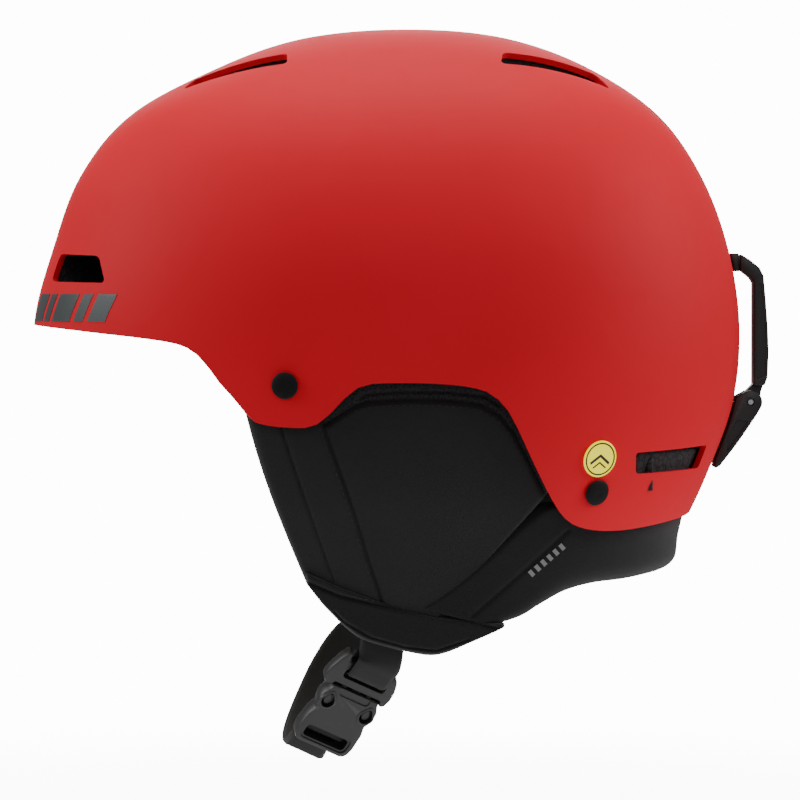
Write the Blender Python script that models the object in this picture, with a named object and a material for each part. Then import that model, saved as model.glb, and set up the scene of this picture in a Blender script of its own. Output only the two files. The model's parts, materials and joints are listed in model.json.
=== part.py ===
"""Ski helmet with soft ear pads, a goggle retainer and a side-release chin strap.

Frame, in metres: the origin is where the crown of the head meets the crown pad, on the centre plane.
+Z is up, -Y is the front of the head and +X is the wearer's left.

Every layer of the helmet is the same dome, drawn in by its own insets. A place on the dome is given by
its turn about Z, 0 at the front and 90 degrees at the wearer's left, and by its dip from the top,
0 at the top and 90 degrees at the helmet's longest level.
"""

import math

import bmesh
import bpy
from mathutils import Matrix, Vector

MM = 0.001

# ---- the dome: dip in degrees, reach forward, half width and reach rearward in mm
DOME_STATIONS = (
    (0, 0, 0, 0),
    (7.5, 22, 16, 22),
    (15, 41.5, 31, 40),
    (30, 73.5, 56.5, 70.5),
    (45, 106.6, 78, 97),
    (60, 126, 94.5, 113.7),
    (75, 136.4, 104.8, 124),
    (90, 144, 108, 128.6),
    (105, 143, 107.3, 126.5),
    (120, 139, 103.5, 117.1),
    (135, 133, 97.5, 106),
    (150, 125, 90, 94),
)
SHELL_LENGTH = 272.6  # overall length of the dome at its longest level, in mm
SHELL_WIDTH = 216.0  # overall width
DOME_HEIGHT = 113.0  # from the longest level to the top of the shell
TOP_HEIGHT = 36.0  # top of the shell above the head's crown
MIDDLE_Y = 8.0  # where the front half of the plan meets the rear half
PLAN_SQUARENESS = 2.25  # 2 is an ellipse

# ---- walls and gaps, in mm
SHELL_WALL = 2.2
SHELL_GAP = 0.9
FOAM_WALL = {"front": 27.0, "side": 20.0, "rear": 25.0, "top": 25.0}
SLIP_GAP = 2.2
SLIP_WALL = 0.9
PAD_GAP = 1.2
COMFORT_PAD = 3.6
PIECE_GAP = 0.35

# ---- lower edges, as fore-and-aft place and height in mm
SHELL_RIM = (
    (-137, -78), (-112, -80.5), (-84, -83.6), (-74, -86), (-68, -90.5), (-62, -98.5), (-54, -107.3),
    (-50.5, -112), (-46, -114.3), (-36, -115.5), (-28, -115.3), (-22.5, -112.3), (-13, -102.7),
    (-8, -99.8), (0, -99), (22, -99.4), (36, -101.6), (42, -105.3), (46.5, -111), (56, -131),
    (62, -142.8), (66, -148.8), (71, -152.6), (80, -154.7), (92, -154.6), (112, -151.6), (120, -149.4),
)
FOAM_RIM = (
    (-137, -75.5), (-100, -78.5), (-84, -80.5), (-70, -84), (-60, -91), (-52, -98), (-44, -101.5),
    (-32, -102.5), (-22, -99.6), (-14, -93), (-6, -88), (8, -86.5), (26, -87.5), (38, -91), (47, -100),
    (53, -114), (58, -126), (64, -135), (72, -140), (82, -142), (95, -142), (118, -138),
)
SLIP_LIFT = 7.0  # how far the slip liner's edge lies above the foam's
SLIP_LOWEST = -104.0

# ---- vents: four corners on the shell, in order round the opening, and the way the channel runs inward
VENTS = {
    "front_vent": (
        ((36, -124, -51), (64, -108, -51.8), (70.5, -105.5, -62), (35, -127.5, -61.5)),
        (-0.45, 0.89, 0.0),
    ),
    "front_top_vent": (((21, -74, 18), (37, -38, 27), (47, -38, 23), (31, -78, 13)), (-0.25, 0.3, -0.92)),
    "rear_top_vent": (((41, 45, 27), (24, 80, 18.5), (34, 86, 12.5), (51, 44, 22.5)), (-0.3, -0.3, -0.9)),
    "rear_vent": (
        ((79.5, 93.6, -125.5), (41.6, 122.2, -123.6), (41.2, 118.8, -132.4), (76.4, 93.7, -133.5)),
        (-0.6, -0.8, 0.0),
    ),
}
VENT_OUTWARD = 14.0
VENT_INWARD = 62.0
REAR_CHANNEL = {"half_width": 79.0, "front": 70.0, "rear": 140.0, "low": -150.0, "high": -122.5}

# ---- fasteners and badge
RIVET_HEAD = 5.0  # radius
RIVET_HEAD_HEIGHT = 1.3
RIVET_STEM = 2.4
RIVET_STEM_LENGTH = 9.0
RIVET_PLAY = 0.4
RIVET_PLACES = {"front": (-37.0, -99.9), "rear": (78.5, -140.0)}
BADGE_RADIUS = 7.0
BADGE_WALL = 0.4
BADGE_PLACE = (79.5, -127.3)

# ---- goggle retainer, in the centre plane
CLIP_HALF_WIDTH = 10.0
CLIP_KNUCKLE_HALF_WIDTH = 5.8
CLIP_PIVOT = (140.8, -108.0)
CLIP_KNUCKLE = 3.6
CLIP_CHEEK = 4.5
CLIP_PIN = 1.3
CLIP_SEAT_Y = 142.0  # the flat inner face that the goggle strap lies on
CLIP_SEAT_LOW = -99.0
CLIP_SEAT_HIGH = -62.0

# ---- soft goods below the shell: height, half width and reach rearward in mm
SOFT_STATIONS = (
    (-208, 76, 90),
    (-185, 79.5, 98),
    (-170, 83.5, 103),
    (-158, 88, 104.6),
    (-140, 95.5, 109.5),
    (-118, 101, 117.5),
    (-100, 103, 121),
    (-88, 103.5, 123),
)
SOFT_FRONT_REACH = 135.0
EAR_PAD_WALL = 6.0
EAR_LINING_DEPTH = 10.6
EAR_LINING_WALL = 4.0
NECK_ROLL_WALL = 14.0
POCKET_PROUD = 1.6
POCKET_WALL = 15.8
FRONT_YOKE_DEPTH = 7.6
REAR_YOKE_DEPTH = 9.0
YOKE_WALL = 1.0
YOKE_WIDTH = 15.0

# ---- chin strap and buckle
WEBBING_WIDTH = 16.6
WEBBING_WALL = 1.4
STRAP_PIVOT = (70.6, -1.0, -195.0)
POCKET_SLOT = 4.0
BUCKLE_CENTRE = Vector((60.5, -14.8, -220.4))
BUCKLE_UP = Vector((0.392, 0.527, 0.753))
BUCKLE_ACROSS = Vector((-0.357, 0.843, -0.404))
FEMALE_HALF_WALL = 3.6
MALE_HALF_WALL = 2.6
PRONG_PIVOT = (5.2, 8.2)

# ---- fit system
CRADLE_REACH = 80.0
CRADLE_HALF_WIDTH = 66.0
CRADLE_WALL = 2.4
CRADLE_LOW = -146.0
CRADLE_HIGH = -112.0

COLOURS = {
    "shell": ((0.55, 0.02, 0.03, 1), 0.45),
    "foam": ((0.03, 0.03, 0.03, 1), 0.9),
    "slip": ((0.75, 0.62, 0.03, 1), 0.5),
    "plastic": ((0.02, 0.02, 0.02, 1), 0.5),
    "buckle": ((0.06, 0.06, 0.06, 1), 0.4),
    "fabric": ((0.02, 0.02, 0.02, 1), 0.9),
    "webbing": ((0.03, 0.03, 0.03, 1), 0.85),
    "badge": ((0.95, 0.8, 0.05, 1), 0.4),
    "steel": ((0.6, 0.6, 0.6, 1), 0.3),
}


# ---------------------------------------------------------------- helpers
def material(name):
    """The named finish, made once."""
    found = bpy.data.materials.get(name)
    if found:
        return found
    colour, roughness = COLOURS[name]
    made = bpy.data.materials.new(name)
    made.use_nodes = True
    shader = made.node_tree.nodes["Principled BSDF"]
    shader.inputs["Base Color"].default_value = colour
    shader.inputs["Roughness"].default_value = roughness
    shader.inputs["Metallic"].default_value = 1.0 if name == "steel" else 0.0
    return made


def mesh_object(name, bm, finish):
    """An object of this name from a bmesh in millimetres, with its faces pointing out."""
    bmesh.ops.remove_doubles(bm, verts=bm.verts, dist=0.001)
    bmesh.ops.recalc_face_normals(bm, faces=bm.faces)
    bmesh.ops.scale(bm, vec=(MM, MM, MM), verts=bm.verts)
    mesh = bpy.data.meshes.new(name)
    bm.to_mesh(mesh)
    bm.free()
    mesh.materials.append(material(finish))
    made = bpy.data.objects.new(name, mesh)
    bpy.context.scene.collection.objects.link(made)
    return made


def between(stations, x):
    """The values that a smooth curve through the stations has at x."""
    xs = [s[0] for s in stations]
    last = len(xs) - 1
    i = max(0, min(last - 1, sum(1 for v in xs if v <= x) - 1))
    step = xs[i + 1] - xs[i]
    t = max(0.0, min(1.0, (x - xs[i]) / step))

    def slope(j, k):
        a, b = max(0, j - 1), min(last, j + 1)
        return (stations[b][k] - stations[a][k]) / (xs[b] - xs[a])

    values = []
    for k in range(1, len(stations[0])):
        a, b = stations[i][k], stations[i + 1][k]
        rise = (2 * t**3 - 3 * t**2 + 1) * a + (-2 * t**3 + 3 * t**2) * b
        values.append(rise + step * ((t**3 - 2 * t**2 + t) * slope(i, k) + (t**3 - t**2) * slope(i + 1, k)))
    return values


def signed_power(value, power):
    return math.copysign(abs(value) ** power, value)


def insets(depth, foam=0.0):
    """How far a layer is drawn in at the front, sides, rear and top: a depth plus a share of the foam."""
    return [depth + foam * FOAM_WALL[side] for side in ("front", "side", "rear", "top")]


def dome_point(turn, dip, drawn_in):
    """A point of the dome, in mm, with turn and dip in degrees and the four insets."""
    front, half, rear = between(DOME_STATIONS, dip)
    full = between(DOME_STATIONS, 90)
    front *= 1 - drawn_in[0] / full[0]
    half *= (SHELL_WIDTH / 2 - drawn_in[1]) / full[1]
    rear *= 1 - drawn_in[2] / full[2]
    stretch = SHELL_LENGTH / (full[0] + full[2])
    power = 2 / PLAN_SQUARENESS
    sine, cosine = math.sin(math.radians(turn)), math.cos(math.radians(turn))
    reach = front if cosine > 0 else rear
    height = TOP_HEIGHT - DOME_HEIGHT + (DOME_HEIGHT - drawn_in[3]) * math.cos(math.radians(dip))
    return Vector(
        (half * signed_power(sine, power), MIDDLE_Y - stretch * reach * signed_power(cosine, power), height)
    )


def rim_dip(turn, drawn_in, rim, lift=0.0, lowest=-999.0):
    """The dip at which this meridian meets the lower edge."""
    low, high = 20.0, 150.0
    for _ in range(30):
        dip = (low + high) / 2
        point = dome_point(turn, dip, drawn_in)
        if point.z > max(between(rim, max(rim[0][0], min(rim[-1][0], point.y)))[0] + lift, lowest):
            low = dip
        else:
            high = dip
    return low


def close_grids(bm, outer, inner, ring):
    """Faces over two matching grids of vertices, and round their edges. A ring's rows close on themselves."""
    rows, columns = len(outer), len(outer[0])
    span = columns if ring else columns - 1
    for i in range(rows - 1):
        for j in range(span):
            k = (j + 1) % columns
            bm.faces.new((outer[i][j], outer[i][k], outer[i + 1][k], outer[i + 1][j]))
            bm.faces.new((inner[i][j], inner[i + 1][j], inner[i + 1][k], inner[i][k]))
    for i in (0, rows - 1):
        for j in range(span):
            k = (j + 1) % columns
            if outer[i][j] is not outer[i][k] or inner[i][j] is not inner[i][k]:
                corners = [outer[i][j], outer[i][k], inner[i][k], inner[i][j]]
                bm.faces.new(corners if i else corners[::-1])
    if not ring:
        for j in (0, columns - 1):
            for i in range(rows - 1):
                corners = [outer[i][j], outer[i + 1][j], inner[i + 1][j], inner[i][j]]
                bm.faces.new(corners if j == 0 else corners[::-1])


def dome_layer(name, outer, inner, dip_at, columns, rows, finish):
    """A closed bowl between two drawn-in domes, down to the dip that dip_at gives for each turn and inset."""
    bm = bmesh.new()
    grids, tops = [], []
    for drawn_in in (outer, inner):
        tops.append(bm.verts.new(dome_point(0, 0, drawn_in)))
        grid = [[] for _ in range(rows)]
        for j in range(columns):
            turn = 360.0 * j / columns
            edge = dip_at(turn, drawn_in)
            for i in range(rows):
                grid[i].append(bm.verts.new(dome_point(turn, edge * (i + 1) / rows, drawn_in)))
        grids.append(grid)
    for top, grid in zip(tops, grids):
        for j in range(columns):
            bm.faces.new((top, grid[0][j], grid[0][(j + 1) % columns]))
    for grid in grids:
        for i in range(rows - 1):
            for j in range(columns):
                k = (j + 1) % columns
                bm.faces.new((grid[i][j], grid[i][k], grid[i + 1][k], grid[i + 1][j]))
    for j in range(columns):
        k = (j + 1) % columns
        bm.faces.new((grids[0][-1][j], grids[0][-1][k], grids[1][-1][k], grids[1][-1][j]))
    return mesh_object(name, bm, finish)


def dome_patch(name, turns, dips, outer, inner, columns, rows, finish):
    """A closed pad between two drawn-in domes, over a range of turns and dips."""
    bm = bmesh.new()
    grids = []
    for drawn_in in (outer, inner):
        grids.append(
            [
                [
                    bm.verts.new(
                        dome_point(
                            turns[0] + (turns[1] - turns[0]) * j / (columns - 1),
                            dips[0] + (dips[1] - dips[0]) * i / (rows - 1),
                            drawn_in,
                        )
                    )
                    for j in range(columns)
                ]
                for i in range(rows)
            ]
        )
    close_grids(bm, grids[0], grids[1], ring=False)
    return mesh_object(name, bm, finish)


def lofted(name, loops, finish):
    """A closed solid through loops of points, capped at both ends."""
    bm = bmesh.new()
    rings = [[bm.verts.new(p) for p in loop] for loop in loops]
    count = len(rings[0])
    for a, b in zip(rings, rings[1:]):
        for j in range(count):
            k = (j + 1) % count
            bm.faces.new((a[j], a[k], b[k], b[j]))
    bm.faces.new(rings[0][::-1])
    bm.faces.new(rings[-1])
    return mesh_object(name, bm, finish)


def prism_bmesh(outline, low, high):
    """A bmesh of a flat outline in x and y, from z low to z high."""
    bm = bmesh.new()
    face = bm.faces.new([bm.verts.new((x, y, low)) for x, y in outline])
    grown = bmesh.ops.extrude_face_region(bm, geom=[face])
    moved = [v for v in grown["geom"] if isinstance(v, bmesh.types.BMVert)]
    bmesh.ops.translate(bm, vec=(0, 0, high - low), verts=moved)
    return bm


def prism(name, outline, low, high, finish, place=None):
    """A flat outline, extruded from low to high, then put in place."""
    bm = prism_bmesh(outline, low, high)
    if place is not None:
        bmesh.ops.transform(bm, matrix=place, verts=bm.verts)
    return mesh_object(name, bm, finish)


def box(name, low, high, finish, place=None):
    outline = ((low[0], low[1]), (high[0], low[1]), (high[0], high[1]), (low[0], high[1]))
    return prism(name, outline, low[2], high[2], finish, place)


def turned(name, profile, segments, finish, place):
    """A solid of revolution about z. The profile is radius and height, and its ends lie on the axis."""
    loops = []
    for radius, height in profile:
        loops.append(
            [
                (
                    radius * math.cos(2 * math.pi * j / segments),
                    radius * math.sin(2 * math.pi * j / segments),
                    height,
                )
                for j in range(segments)
            ]
        )
    bm = bmesh.new()
    rings = [[bm.verts.new(p) for p in loop] for loop in loops]
    for a, b in zip(rings, rings[1:]):
        for j in range(segments):
            k = (j + 1) % segments
            bm.faces.new((a[j], a[k], b[k], b[j]))
    bm.faces.new(rings[0][::-1])
    bm.faces.new(rings[-1])
    bmesh.ops.transform(bm, matrix=place, verts=bm.verts)
    return mesh_object(name, bm, finish)


def boolean(target, cutters, operation="DIFFERENCE"):
    """Applies the cutters to the target's mesh, one by one, and removes them."""
    for cutter in cutters:
        modifier = target.modifiers.new("cut", "BOOLEAN")
        modifier.operation = operation
        modifier.solver = "EXACT"
        modifier.object = cutter
        bpy.context.view_layer.update()
        graph = bpy.context.evaluated_depsgraph_get()
        mesh = bpy.data.meshes.new_from_object(target.evaluated_get(graph))
        target.modifiers.clear()
        old = target.data
        target.data = mesh
        bpy.data.meshes.remove(old)
    for cutter in cutters:
        bpy.data.objects.remove(cutter)
    return target


def frame_at(point, outward):
    """A matrix whose z axis is outward and whose origin is the point."""
    z = Vector(outward).normalized()
    x = Vector((0, 0, 1)).cross(z)
    x = x.normalized() if x.length > 0.01 else Vector((1, 0, 0))
    y = z.cross(x)
    return Matrix(
        ((x.x, y.x, z.x, point[0]), (x.y, y.y, z.y, point[1]), (x.z, y.z, z.z, point[2]), (0, 0, 0, 1)),
    )


def side_point(y, z, drawn_in):
    """The dome's point on the wearer's left at this fore-and-aft place and height, and its outward normal."""
    dip = math.degrees(math.acos((z - TOP_HEIGHT + DOME_HEIGHT) / (DOME_HEIGHT - drawn_in[3])))
    low, high = 0.0, 180.0
    for _ in range(40):
        turn = (low + high) / 2
        if dome_point(turn, dip, drawn_in).y < y:
            low = turn
        else:
            high = turn
    here = dome_point(turn, dip, drawn_in)
    along = dome_point(turn + 1, dip, drawn_in) - here
    down = dome_point(turn, dip + 1, drawn_in) - here
    return here, down.cross(along).normalized()


def soft_point(turn, height, depth):
    """A point of the soft goods' surface, drawn in by depth. Turn is from the rear, in degrees."""
    half, rear = between(SOFT_STATIONS, height)
    power = 2 / PLAN_SQUARENESS
    sine, cosine = math.sin(math.radians(turn)), math.cos(math.radians(turn))
    reach = rear - depth if cosine > 0 else SOFT_FRONT_REACH - depth
    return Vector(
        (
            (half - depth) * signed_power(sine, power),
            MIDDLE_Y + reach * signed_power(cosine, power), height,
        ),
    )


def soft_side(y, z, depth):
    """The soft surface's point on the wearer's left at this fore-and-aft place and height."""
    half, rear = between(SOFT_STATIONS, z)
    reach = (rear if y > MIDDLE_Y else SOFT_FRONT_REACH) - depth
    share = min(1.0, abs(y - MIDDLE_Y) / reach)
    return Vector(((half - depth) * (1 - share**PLAN_SQUARENESS) ** (1 / PLAN_SQUARENESS), y, z))


PAD_SECTION = (
    (0.0, 0.12), (-0.12, 0.5), (0.0, 0.88), (0.3, 1.0), (0.7, 1.0),
    (1.0, 0.88), (1.0, 0.5), (1.0, 0.12), (0.7, 0.0), (0.3, 0.0),
)


def pad_loop(low, high, depth, wall, side):
    """One section of a pad: a rounded loop between a low and a high place."""
    loop = []
    for inward, share in PAD_SECTION:
        y, z = (low[i] + (high[i] - low[i]) * share for i in (0, 1))
        point = soft_side(y, z, depth + max(0.0, inward) * wall)
        point.x -= min(0.0, inward) * 2.0
        loop.append(Vector((side * point.x, point.y, point.z)))
    return loop


def side_pad(name, stations, depth, wall, side, finish):
    loops = [pad_loop(low, high, depth, wall, side) for low, high in stations]
    return lofted(name, loops, finish)


def ribbon(name, path, across, width, wall, finish, round_start=0):
    """A flat strap along a path, with the way across its width at each point."""
    loops = []
    for i, (point, wide) in enumerate(zip(path, across)):
        point, wide = Vector(point), Vector(wide)
        ahead = (Vector(path[min(i + 1, len(path) - 1)]) - Vector(path[max(i - 1, 0)])).normalized()
        wide = (wide - ahead * wide.dot(ahead)).normalized() * (width / 2)
        thick = ahead.cross(wide).normalized() * (wall / 2)
        if i == 0 and round_start:
            for k in range(round_start):
                angle = math.pi / 2 * (k + 0.35) / round_start
                back = point - ahead * (width / 2) * math.cos(angle)
                part = wide * math.sin(angle)
                loops.append(
                    [back + part + thick, back - part + thick, back - part - thick, back + part - thick],
                )
        loops.append([point + wide + thick, point - wide + thick, point - wide - thick, point + wide - thick])
    return lofted(name, loops, finish)


# ---------------------------------------------------------------- hard layers
def vent_cutter(name, side, grow=0.0, inward=VENT_INWARD):
    """A tapered block that opens one vent, on the wearer's left (side 1) or right (side -1)."""
    corners, way = VENTS[name]
    corners = [Vector((side * x, y, z)) for x, y, z in corners]
    way = Vector((side * way[0], way[1], way[2])).normalized()
    middle = sum(corners, Vector()) / 4
    bm = bmesh.new()
    rings = []
    for reach, scale in ((-VENT_OUTWARD, 1.0 + grow), (inward, 1.0 + grow)):
        rings.append([bm.verts.new(middle + (c - middle) * scale + way * reach) for c in corners])
    for j in range(4):
        k = (j + 1) % 4
        bm.faces.new((rings[0][j], rings[0][k], rings[1][k], rings[1][j]))
    bm.faces.new(rings[0][::-1])
    bm.faces.new(rings[1])
    return mesh_object("cutter", bm, "plastic")


def vent_cutters(names, grow=0.0, inward=VENT_INWARD):
    return [vent_cutter(name, side, grow, inward) for name in names for side in (1, -1)]


def rivet_places():
    for end, (y, z) in RIVET_PLACES.items():
        for side_name, side in (("left", 1), ("right", -1)):
            point, normal = side_point(y, z, insets(0))
            yield f"shell_rivet_{end}_{side_name}", Vector((side * point.x, point.y, point.z)), Vector(
                (side * normal.x, normal.y, normal.z),
            )


def hole_cutters(radius, length):
    cutters = []
    for _, point, normal in rivet_places():
        profile = ((radius, -length), (radius, 6.0))
        cutters.append(turned("cutter", profile, 12, "plastic", frame_at(point, normal)))
    return cutters


def build_outer_shell():
    shell = dome_layer(
        "outer_shell",
        insets(0),
        insets(SHELL_WALL),
        lambda turn, drawn_in: rim_dip(turn, drawn_in, SHELL_RIM),
        72,
        12,
        "shell",
    )
    return boolean(shell, vent_cutters(VENTS) + hole_cutters(RIVET_STEM + RIVET_PLAY, 14.0))


def build_foam_liner():
    foam = dome_layer(
        "foam_liner",
        insets(SHELL_WALL + SHELL_GAP),
        insets(SHELL_WALL + SHELL_GAP, 1.0),
        lambda turn, drawn_in: rim_dip(turn, drawn_in, FOAM_RIM),
        68,
        10,
        "foam",
    )
    channel = REAR_CHANNEL
    cutter = box(
        "cutter",
        (-channel["half_width"], channel["front"], channel["low"]),
        (channel["half_width"], channel["rear"], channel["high"]),
        "foam",
    )
    through = ("front_vent", "front_top_vent", "rear_top_vent")
    return boolean(foam, vent_cutters(through, 0.06) + [cutter] + hole_cutters(RIVET_STEM + RIVET_PLAY, 14.0))


def build_slip_liner():
    start = SHELL_WALL + SHELL_GAP + SLIP_GAP
    slip = dome_layer(
        "slip_liner",
        insets(start, 1.0),
        insets(start + SLIP_WALL, 1.0),
        lambda turn, drawn_in: rim_dip(turn, drawn_in, FOAM_RIM, SLIP_LIFT, SLIP_LOWEST),
        60,
        9,
        "slip",
    )
    boolean(slip, vent_cutters(("front_vent", "front_top_vent", "rear_top_vent"), 0.18))
    return slip


def build_comfort_pads():
    start = SHELL_WALL + SHELL_GAP + SLIP_GAP + SLIP_WALL + PAD_GAP
    outer, inner = insets(start, 1.0), insets(start + COMFORT_PAD, 1.0)
    dome_layer("crown_pad", outer, inner, lambda turn, drawn_in: 13.5, 30, 3, "fabric")
    dome_patch("brow_pad", (-52, 52), (71, 86), outer, inner, 25, 4, "fabric")
    dome_patch("side_pad_left", (76, 112), (58, 80), outer, inner, 11, 5, "fabric")
    dome_patch("side_pad_right", (-112, -76), (58, 80), outer, inner, 11, 5, "fabric")
    dome_patch("rear_pad", (146, 214), (66, 92), outer, inner, 19, 6, "fabric")


def build_tethers():
    """Four elastomer links in the gap between the foam and the slip liner."""
    for name, turn, dip in (
        ("tether_front_left", 35, 62), ("tether_front_right", -35, 62),
        ("tether_rear_left", 140, 60), ("tether_rear_right", -140, 60),
    ):
        start = SHELL_WALL + SHELL_GAP
        here = dome_point(turn, dip, insets(start + SLIP_GAP / 2, 1.0))
        foam_inside = insets(start, 1.0)
        foot = dome_point(turn, dip, foam_inside)
        down = dome_point(turn, dip + 1, foam_inside) - foot
        round_it = dome_point(turn + 1, dip, foam_inside) - foot
        normal = down.cross(round_it)
        half = SLIP_GAP / 2 - 0.7
        turned(name, ((3.0, -half), (3.0, half)), 10, "plastic", frame_at(here, normal))


def build_rivets():
    for name, point, normal in rivet_places():
        profile = (
            (RIVET_STEM, -RIVET_STEM_LENGTH),
            (RIVET_STEM, PIECE_GAP),
            (RIVET_HEAD, PIECE_GAP),
            (RIVET_HEAD, 0.6 * RIVET_HEAD_HEIGHT),
            (RIVET_HEAD - 0.9, RIVET_HEAD_HEIGHT),
        )
        turned(name, profile, 20, "plastic", frame_at(point, normal))


def build_badge():
    point, normal = side_point(*BADGE_PLACE, insets(0))
    profile = ((BADGE_RADIUS, PIECE_GAP + 0.05), (BADGE_RADIUS, PIECE_GAP + 0.05 + BADGE_WALL))
    turned("badge_left", profile, 24, "badge", frame_at(point, normal))


# ---------------------------------------------------------------- goggle retainer
def centre_plane():
    """Turns an outline's x and y into Y and Z of the frame, and its z into X."""
    return Matrix(((0, 0, 1, 0), (1, 0, 0, 0), (0, 1, 0, 0), (0, 0, 0, 1)))


def shell_rear(height):
    """Where the shell's outer face crosses the centre plane at the rear."""
    dip = math.degrees(math.acos((height - TOP_HEIGHT + DOME_HEIGHT) / DOME_HEIGHT))
    return dome_point(180, dip, insets(0)).y


def arc(centre, radius, start, end, count):
    return [
        (
            centre[0] + radius * math.cos(math.radians(start + (end - start) * i / (count - 1))),
            centre[1] + radius * math.sin(math.radians(start + (end - start) * i / (count - 1))),
        )
        for i in range(count)
    ]


def pin_cutter(radius):
    place = centre_plane() @ Matrix.Translation((CLIP_PIVOT[0], CLIP_PIVOT[1], 0))
    return turned("cutter", ((radius, -20.0), (radius, 20.0)), 12, "steel", place)


def build_goggle_clip():
    clearance = 0.5
    base_outline = arc(CLIP_PIVOT, CLIP_CHEEK, 130, -30, 7)
    base_outline += [(143.0, -113.2), (128.7, -133.0), (126.6, -133.6)]
    base_outline += [(shell_rear(z) + clearance, z) for z in (-130, -124, -118, -112, -106)]
    base = prism(
        "goggle_clip_base", base_outline[::-1], -CLIP_HALF_WIDTH, CLIP_HALF_WIDTH, "plastic",
        centre_plane(),
    )
    slot_half = CLIP_KNUCKLE_HALF_WIDTH + 0.4
    slot_outline = arc(CLIP_PIVOT, CLIP_KNUCKLE + 0.5, -180, 0, 9) + [
        (160.0, CLIP_PIVOT[1]), (160.0, -90.0), (128.0, -90.0), (128.0, CLIP_PIVOT[1]),
    ]
    slot = prism("cutter", slot_outline, -slot_half, slot_half, "plastic", centre_plane())
    boolean(base, [slot, pin_cutter(CLIP_PIN + PIECE_GAP)])

    outer_line = [
        (136.6, -50.8), (144.2, -56.2), (145.7, -59.3), (147.3, -78.7), (147.7, -88.0),
        (147.3, -98.4), (146.2, -101.5),
    ]
    inner_line = [
        (CLIP_SEAT_Y, -101.5), (CLIP_SEAT_Y, CLIP_SEAT_LOW), (CLIP_SEAT_Y, CLIP_SEAT_HIGH),
        (140.9, -60.2), (137.6, -57.4), (136.8, -57.4),
    ]
    arm = prism(
        "goggle_clip_arm", (outer_line + inner_line)[::-1], -CLIP_HALF_WIDTH, CLIP_HALF_WIDTH,
        "plastic", centre_plane(),
    )
    neck_outline = arc(CLIP_PIVOT, CLIP_KNUCKLE, -180, 0, 9) + [
        (145.0, -104.0), (146.2, -100.5), (142.4, -100.5), (138.2, -105.0),
    ]
    neck = prism(
        "cutter", neck_outline, -CLIP_KNUCKLE_HALF_WIDTH, CLIP_KNUCKLE_HALF_WIDTH, "plastic",
        centre_plane(),
    )
    boolean(arm, [neck], "UNION")
    boolean(arm, [pin_cutter(CLIP_PIN + PIECE_GAP)])

    place = centre_plane() @ Matrix.Translation((CLIP_PIVOT[0], CLIP_PIVOT[1], 0))
    reach = CLIP_HALF_WIDTH - 0.6
    turned("goggle_clip_pin", ((CLIP_PIN, -reach), (CLIP_PIN, reach)), 10, "steel", place)

    heights = (-50.6, -54.0, -57.6)
    catch = [(shell_rear(z) + PIECE_GAP, z) for z in heights] + [(136.4, heights[2]), (136.2, heights[0])]
    prism("goggle_clip_catch", catch, -7.0, 7.0, "plastic", centre_plane())


# ---------------------------------------------------------------- soft goods
EAR_STATIONS = (
    ((-29.3, -171.2), (-51.2, -107.5)),
    ((-21.4, -173.3), (-38.0, -105.4)),
    ((-12.0, -175.9), (-24.0, -103.6)),
    ((-3.0, -178.7), (-9.0, -95.5)),
    ((4.0, -180.9), (10.0, -92.5)),
    ((9.5, -182.4), (28.0, -93.5)),
    ((13.0, -183.4), (41.0, -99.0)),
    ((14.6, -183.9), (51.0, -113.0)),
    ((15.2, -184.1), (57.2, -128.0)),
    ((15.6, -184.3), (60.6, -142.6)),
)
NECK_STATIONS = (
    ((70.5, -188.2), (85.6, -184.4)),
    ((65.5, -184.0), (80.3, -174.4)),
    ((61.0, -180.3), (74.4, -164.2)),
    ((54.5, -176.4), (62.3, -144.6)),
    ((46.2, -174.6), (54.0, -146.5)),
    ((34.5, -173.8), (40.0, -146.5)),
    ((22.5, -172.6), (25.0, -146.0)),
    ((10.0, -171.6), (11.0, -146.0)),
    ((0.0, -171.2), (0.0, -146.0)),
)
POCKET_STATIONS = (
    ((-28.9, -176.0), (-29.8, -172.9)),
    ((-24.0, -182.0), (-24.0, -174.4)),
    ((-19.5, -186.9), (-18.0, -175.9)),
    ((-14.5, -191.8), (-12.0, -177.6)),
    ((-8.8, -195.8), (-4.0, -180.0)),
    ((0.0, -198.6), (3.0, -182.2)),
    ((7.3, -200.4), (9.0, -183.8)),
    ((16.3, -201.9), (17.0, -186.0)),
    ((23.0, -200.8), (24.0, -187.2)),
    ((32.0, -197.0), (32.0, -188.6)),
    ((40.2, -193.4), (38.5, -189.4)),
    ((43.8, -192.2), (43.6, -190.2)),
)


def shrink(stations, share):
    """The same stations, with each low and high place moved towards the middle of the pad."""
    ends = [place for station in stations for place in station]
    middle = [sum(p[i] for p in ends) / len(ends) for i in (0, 1)]
    return tuple(
        tuple(tuple(middle[i] + (place[i] - middle[i]) * share for i in (0, 1)) for place in station)
        for station in stations
    )


def build_ear_pads():
    for side_name, side in (("left", 1), ("right", -1)):
        side_pad(f"ear_pad_{side_name}", EAR_STATIONS, 0.0, EAR_PAD_WALL, side, "fabric")
        side_pad(
            f"ear_lining_{side_name}", shrink(EAR_STATIONS, 0.95), EAR_LINING_DEPTH,
            EAR_LINING_WALL, side, "fabric",
        )


def build_neck_roll():
    loops = []
    half = [(1, station) for station in NECK_STATIONS] + [(-1, station) for station in NECK_STATIONS[-2::-1]]
    for side, (low, high) in half:
        loop = []
        for inward, share in PAD_SECTION:
            turn, height = (low[i] + (high[i] - low[i]) * share for i in (0, 1))
            depth = max(0.0, inward) * NECK_ROLL_WALL + (2.0 if share in (0.0, 1.0) else 0.0) * (1 - inward)
            point = soft_point(turn, height, depth)
            loop.append(Vector((side * point.x, point.y, point.z)))
        loops.append(loop)
    lofted("neck_roll", loops, "fabric")


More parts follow.
